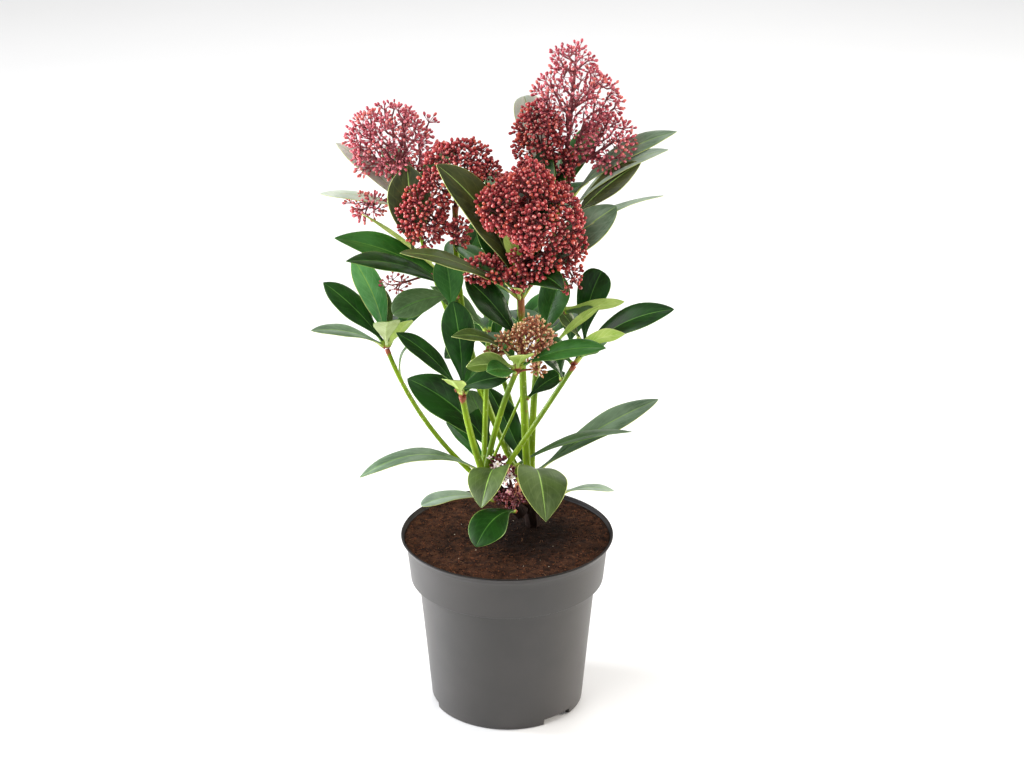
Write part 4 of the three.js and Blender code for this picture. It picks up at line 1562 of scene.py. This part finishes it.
@dataclass
class Blossom:
    """All the panicles, each with its branchlets joined in one piece and its buds in another."""

    bumps: float = 0.3
    overlap: float = 0.72
    stretch: float = 6.0
    axis_reach: float = 8.0
    twig_radius: float = 0.36
    twig_power: float = 0.27
    thickest: float = 1.5
    steepest: float = 1.5
    pedicel_radius: float = 0.28
    # The marks of the pale tip, partly a painted highlight, and of the cup.
    tip_highlight_mark: int = 3
    cup_mark: int = 4
    lean: Pair = (0.75, 1.25)
    stray: float = 0.3
    sizes: Pair = (0.8, 1.1)
    own_tone: float = 0.75
    in_shade: float = 0.6
    flower_foot: Point = (2.0, -10.0, 146.0)
    flower_bunches: tuple[tuple[Point, int], ...] = (
        ((-9, -20, 166), 7), ((-3, -20, 161), 2), ((3, -21, 156), 6),
    )
    flower_spread: Point = (2.2, 1.5, 2.4)
    flower_size: Pair = (3.2, 5.0)
    flower_stalk: Pair = (0.45, 0.3)
    blush: float = 0.35
    flower_seed: int = 31

    def build(self) -> None:
        """Models the repeated shapes once and grows every panicle from them."""
        self.bud = self._model_bud()
        self.twig = tube_shape(6, 1)
        self.pedicel = tube_shape(3, 1)
        for panicle in PANICLES:
            self._grow(panicle)
        self._open_flowers()

    def _model_bud(self) -> Shape:
        """Models one closed bud from 0 to 1 along Z, with a narrow cup and a blunt tip whose pale tone is
        partly the bud's own and partly a painted highlight.
        """
        piece = primitive(bpy.ops.mesh.primitive_uv_sphere_add, segments=6, ring_count=6, radius=0.5)
        with editing(piece):
            pick(piece, "verts", lambda middle: middle.z < -0.2)
            resize(0.82, 0.82, 1.0)
            pick(piece, "verts", lambda middle: 0.2 < middle.z < 0.48)
            resize(1.06, 1.06, 1.0)
            pick_all()
            shift(0, 0, 0.5)
        shape = Shape.taken_from(piece)
        height = shape.middles[:, 2]
        shape.marks = np.where(height > 0.88, self.tip_highlight_mark, np.where(height < 0.3, self.cup_mark, 0))
        return shape

    def _sprays(
        self, panicle: Panicle, lobes: list[Lobe], rng: random.Random
    ) -> list[tuple[np.ndarray, np.ndarray, bool]]:
        """Places the sprays of a panicle over all its lobes, with none deep inside another lobe.

        Returns:
            For each spray its place, the way that it faces and whether it lies in the shade of others.
        """
        inset = panicle.pedicel[1] + panicle.bud[1] * 0.7
        found = []
        for index, lobe in enumerate(lobes):
            others = lobes[:index] + lobes[index + 1 :]
            for depth, factor in panicle.layers:
                for place, facing in lobe.sprays(panicle.spacing * factor, inset, depth, self.bumps, rng):
                    if all(other.share(place) > self.overlap for other in others):
                        found.append((place, facing, depth < 1))
        return found

    def _grow(self, panicle: Panicle) -> None:
        """Grows one panicle: an axis, limbs into the lobes, a branch to each spray, and its buds."""
        rng = random.Random(panicle.seed)
        lobes = [Lobe(row[:3], row[3:]) for row in panicle.lobes]
        axis = [np.array(point, float) for point in panicle.axis]
        line = [axis[0]]
        for start, end in zip(axis, axis[1:]):
            pieces = max(1, round(float(np.linalg.norm(end - start)) / self.stretch))
            line += [start + (end - start) * (i + 1) / pieces for i in range(pieces)]

        def from_axis(place: np.ndarray) -> float:
            """How far a place lies from the axis."""
            return min(float(np.linalg.norm(place - point)) for point in line)

        branching = Branching.along(line)
        for lobe in lobes:
            middle = np.array(lobe.middle, float)
            if from_axis(middle) > self.axis_reach:
                branching.reach(middle, unit(middle - line[0]), 4)
        sprays = sorted(self._sprays(panicle, lobes, rng), key=lambda spray: from_axis(spray[0]))
        buds, twigs = Bundle(), Bundle()
        for place, facing, shaded in sprays:
            branching.carry(branching.reach(place, facing))
            self._spray(panicle, place, facing, shaded, buds, twigs, rng)
        for index, before in enumerate(branching.before):
            if before >= 0 and branching.loads[index]:
                first, last = (self._radius(panicle, branching.loads[end]) for end in (before, index))
                ends = branching.points[before], branching.points[index]
                twigs.add(self.twig, stretched(self.twig, *ends, min(first, last * self.steepest), last), 0)
        nodes = [panicle.node] if panicle.node else []
        finished(buds.build(panicle.name + "_buds", panicle.finishes), panicle.slot, *nodes)
        finished(twigs.build(panicle.name + "_branchlets", panicle.wood), panicle.slot)

    def _radius(self, panicle: Panicle, load: int) -> float:
        """The radius of a branchlet that carries a number of sprays."""
        return min(self.twig_radius * panicle.thickness * max(load, 1) ** self.twig_power, self.thickest)

    def _spray(
        self,
        panicle: Panicle,
        place: np.ndarray,
        facing: np.ndarray,
        shaded: bool,
        buds: Bundle,
        twigs: Bundle,
        rng: random.Random,
    ) -> None:
        """Adds one spray: a bud in the middle and the others round it, each on its own stalk."""
        side, over = turn_frames(facing)
        tones = range(3)
        colour = rng.choices(tones, panicle.weights)[0]
        start = rng.uniform(0, FULL_TURN)
        for index in range(panicle.buds):
            lean = 0.0 if index == 0 else rng.uniform(*self.lean)
            angle = start + FULL_TURN * index / max(1, panicle.buds - 1)
            angle += rng.uniform(-self.stray, self.stray)
            way = facing * math.cos(lean) + (side * math.cos(angle) + over * math.sin(angle)) * math.sin(lean)
            foot = place + way * rng.uniform(*panicle.pedicel)
            points = stretched(self.pedicel, place, foot, self.pedicel_radius * 0.8, self.pedicel_radius)
            twigs.add(self.pedicel, points, 1)
            scale = rng.uniform(*self.sizes)
            shade = colour if rng.random() < self.own_tone else rng.choice(tones)
            shade = 1 if shaded and rng.random() < self.in_shade else shade
            marks = np.where(self.bud.marks == 0, shade, self.bud.marks)
            size = (panicle.bud[0] * scale, panicle.bud[1] * scale)
            aim = unit(way + facing * 0.5)
            buds.add(self.bud, stood(self.bud, foot, aim, size, rng.uniform(0, 6.3)), marks)

    @staticmethod
    def _model_flower() -> Shape:
        """Models one open flower: four blunt petals round a small heart, 1 across, facing +Z."""
        piece = primitive(bpy.ops.mesh.primitive_grid_add, x_subdivisions=2, y_subdivisions=3, size=1)
        with editing(piece):
            pick_all()
            resize(0.34, 0.46, 1)
            shift(0, 0.27, 0)
            pick(piece, "verts", lambda middle: middle.y < 0.1)
            resize(0.35, 1, 1)
            pick(piece, "verts", lambda middle: middle.y > 0.45)
            resize(0.6, 1, 1)
            shift(0, 0, 0.08)
        apply_modifier(piece, "SOLIDIFY", thickness=0.03, offset=0)
        petal = Shape.taken_from(piece)
        ball = bpy.ops.mesh.primitive_ico_sphere_add
        heart = Shape.taken_from(primitive(ball, subdivisions=1, radius=0.11))
        bundle = Bundle()
        for index in range(4):
            c, s = math.cos(index * math.pi / 2), math.sin(index * math.pi / 2)
            bundle.add(petal, petal.points @ np.array([[c, s, 0], [-s, c, 0], [0, 0, 1]]) / MM, 0)
        bundle.add(heart, (heart.points + [0, 0, 0.04]) / MM, 2)
        return Shape.taken_from(bundle.build("flower", []))

    def _open_flowers(self) -> None:
        """Sets the open flowers over the low buds, in two loose bunches."""
        flower = self._model_flower()
        rng = random.Random(self.flower_seed)
        flowers, twigs = Bundle(), Bundle()
        foot = np.array(self.flower_foot)
        for middle, count in self.flower_bunches:
            for _ in range(count):
                offset = np.array([rng.gauss(0, spread) for spread in self.flower_spread])
                place = np.array(middle, float) + offset
                way = unit(unit(offset) + np.array([0, -0.7, 0.6]))
                marks = np.where(flower.marks == 0, int(rng.random() < self.blush), flower.marks)
                size = rng.uniform(*self.flower_size)
                flowers.add(flower, stood(flower, place, way, (size, size), rng.uniform(0, 6.3)), marks)
                twigs.add(self.pedicel, stretched(self.pedicel, foot, place, *self.flower_stalk), 0)
        finished(flowers.build("open_flowers", PETALS), "bud")
        finished(twigs.build("open_flower_stalks", BRANCHLETS[:1]), "bud")


# ---------------- Studio ----------------


@dataclass(frozen=True)
class Softbox:
    """A large soft lamp: where it stands, its size, its power and its tint. Metres and watts."""

    name: str
    place: Point
    size: float
    power: float
    tint: Point = (1.0, 1.0, 1.0)


@dataclass
class Studio:
    """The camera, the floor, the soft light and the white surround."""

    eye: Point = (0.003, -1.325, 0.756)
    tilt: float = 67.6
    lens: float = 84.375
    sensor: float = 36.0
    surround: float = 0.7
    floor_size: float = 12.0
    floor_height: float = -0.0002
    aim: Point = (0.0, 0.0, 0.2)
    lamps: tuple[Softbox, ...] = (
        Softbox("key_softbox", (-1.0, -0.9, 1.6), 1.3, 21.0, (1.0, 0.99, 0.97)),
        Softbox("side_softbox", (-1.4, 0.25, 0.3), 0.6, 42.0, (0.93, 0.95, 1.0)),
        Softbox("fill_softbox", (1.4, 0.3, 0.35), 0.6, 28.0, (1.0, 0.92, 0.82)),
        Softbox("back_softbox", (0.3, 1.4, 1.6), 1.2, 12.0, (0.98, 0.99, 1.0)),
    )

    def build(self) -> None:
        """Sets up everything round the plant."""
        self._camera()
        self._floor()
        self._surround()
        for lamp in self.lamps:
            self._lamp(lamp)
        bpy.context.scene.view_settings.view_transform = "Standard"

    def _camera(self) -> None:
        """Stands the camera in front of the plant and a little over it."""
        data = bpy.data.cameras.new("camera")
        data.lens, data.sensor_width = self.lens, self.sensor
        camera = placed("camera", data)
        camera.location = self.eye
        camera.rotation_euler = (math.radians(self.tilt), 0, 0)
        bpy.context.scene.camera = camera

    def _floor(self) -> None:
        """Lays a plain pale floor."""
        place = (0, 0, self.floor_height)
        floor = primitive(bpy.ops.mesh.primitive_plane_add, size=self.floor_size, location=place)
        floor.name = "floor"
        floor.data.materials.append(FLOOR.made())

    def _surround(self) -> None:
        """Lights the scene evenly from a white surround."""
        world = bpy.data.worlds.new("surround")
        world.use_nodes = True
        back = world.node_tree.nodes["Background"]
        back.inputs["Color"].default_value = (1, 1, 1, 1)
        back.inputs["Strength"].default_value = self.surround
        bpy.context.scene.world = world

    def _lamp(self, lamp: Softbox) -> None:
        """Hangs one softbox and turns it to the plant."""
        data = bpy.data.lights.new(lamp.name, "AREA")
        data.shape, data.size = "DISK", lamp.size
        data.energy, data.color = lamp.power, lamp.tint
        made = placed(lamp.name, data)
        made.location = lamp.place
        made.rotation_euler = (Vector(self.aim) - Vector(lamp.place)).to_track_quat("-Z", "Y").to_euler()


def main() -> None:
    """Builds the studio, the pot, the soil and the plant in order."""
    logging.basicConfig(level=logging.INFO, format="%(name)s %(message)s")
    Studio().build()
    pot = NurseryPot()
    pot.build()
    PeatFill(pot).build()
    Framework().build()
    Foliage().build()
    Blossom().build()


if __name__ == "__main__":
    main()
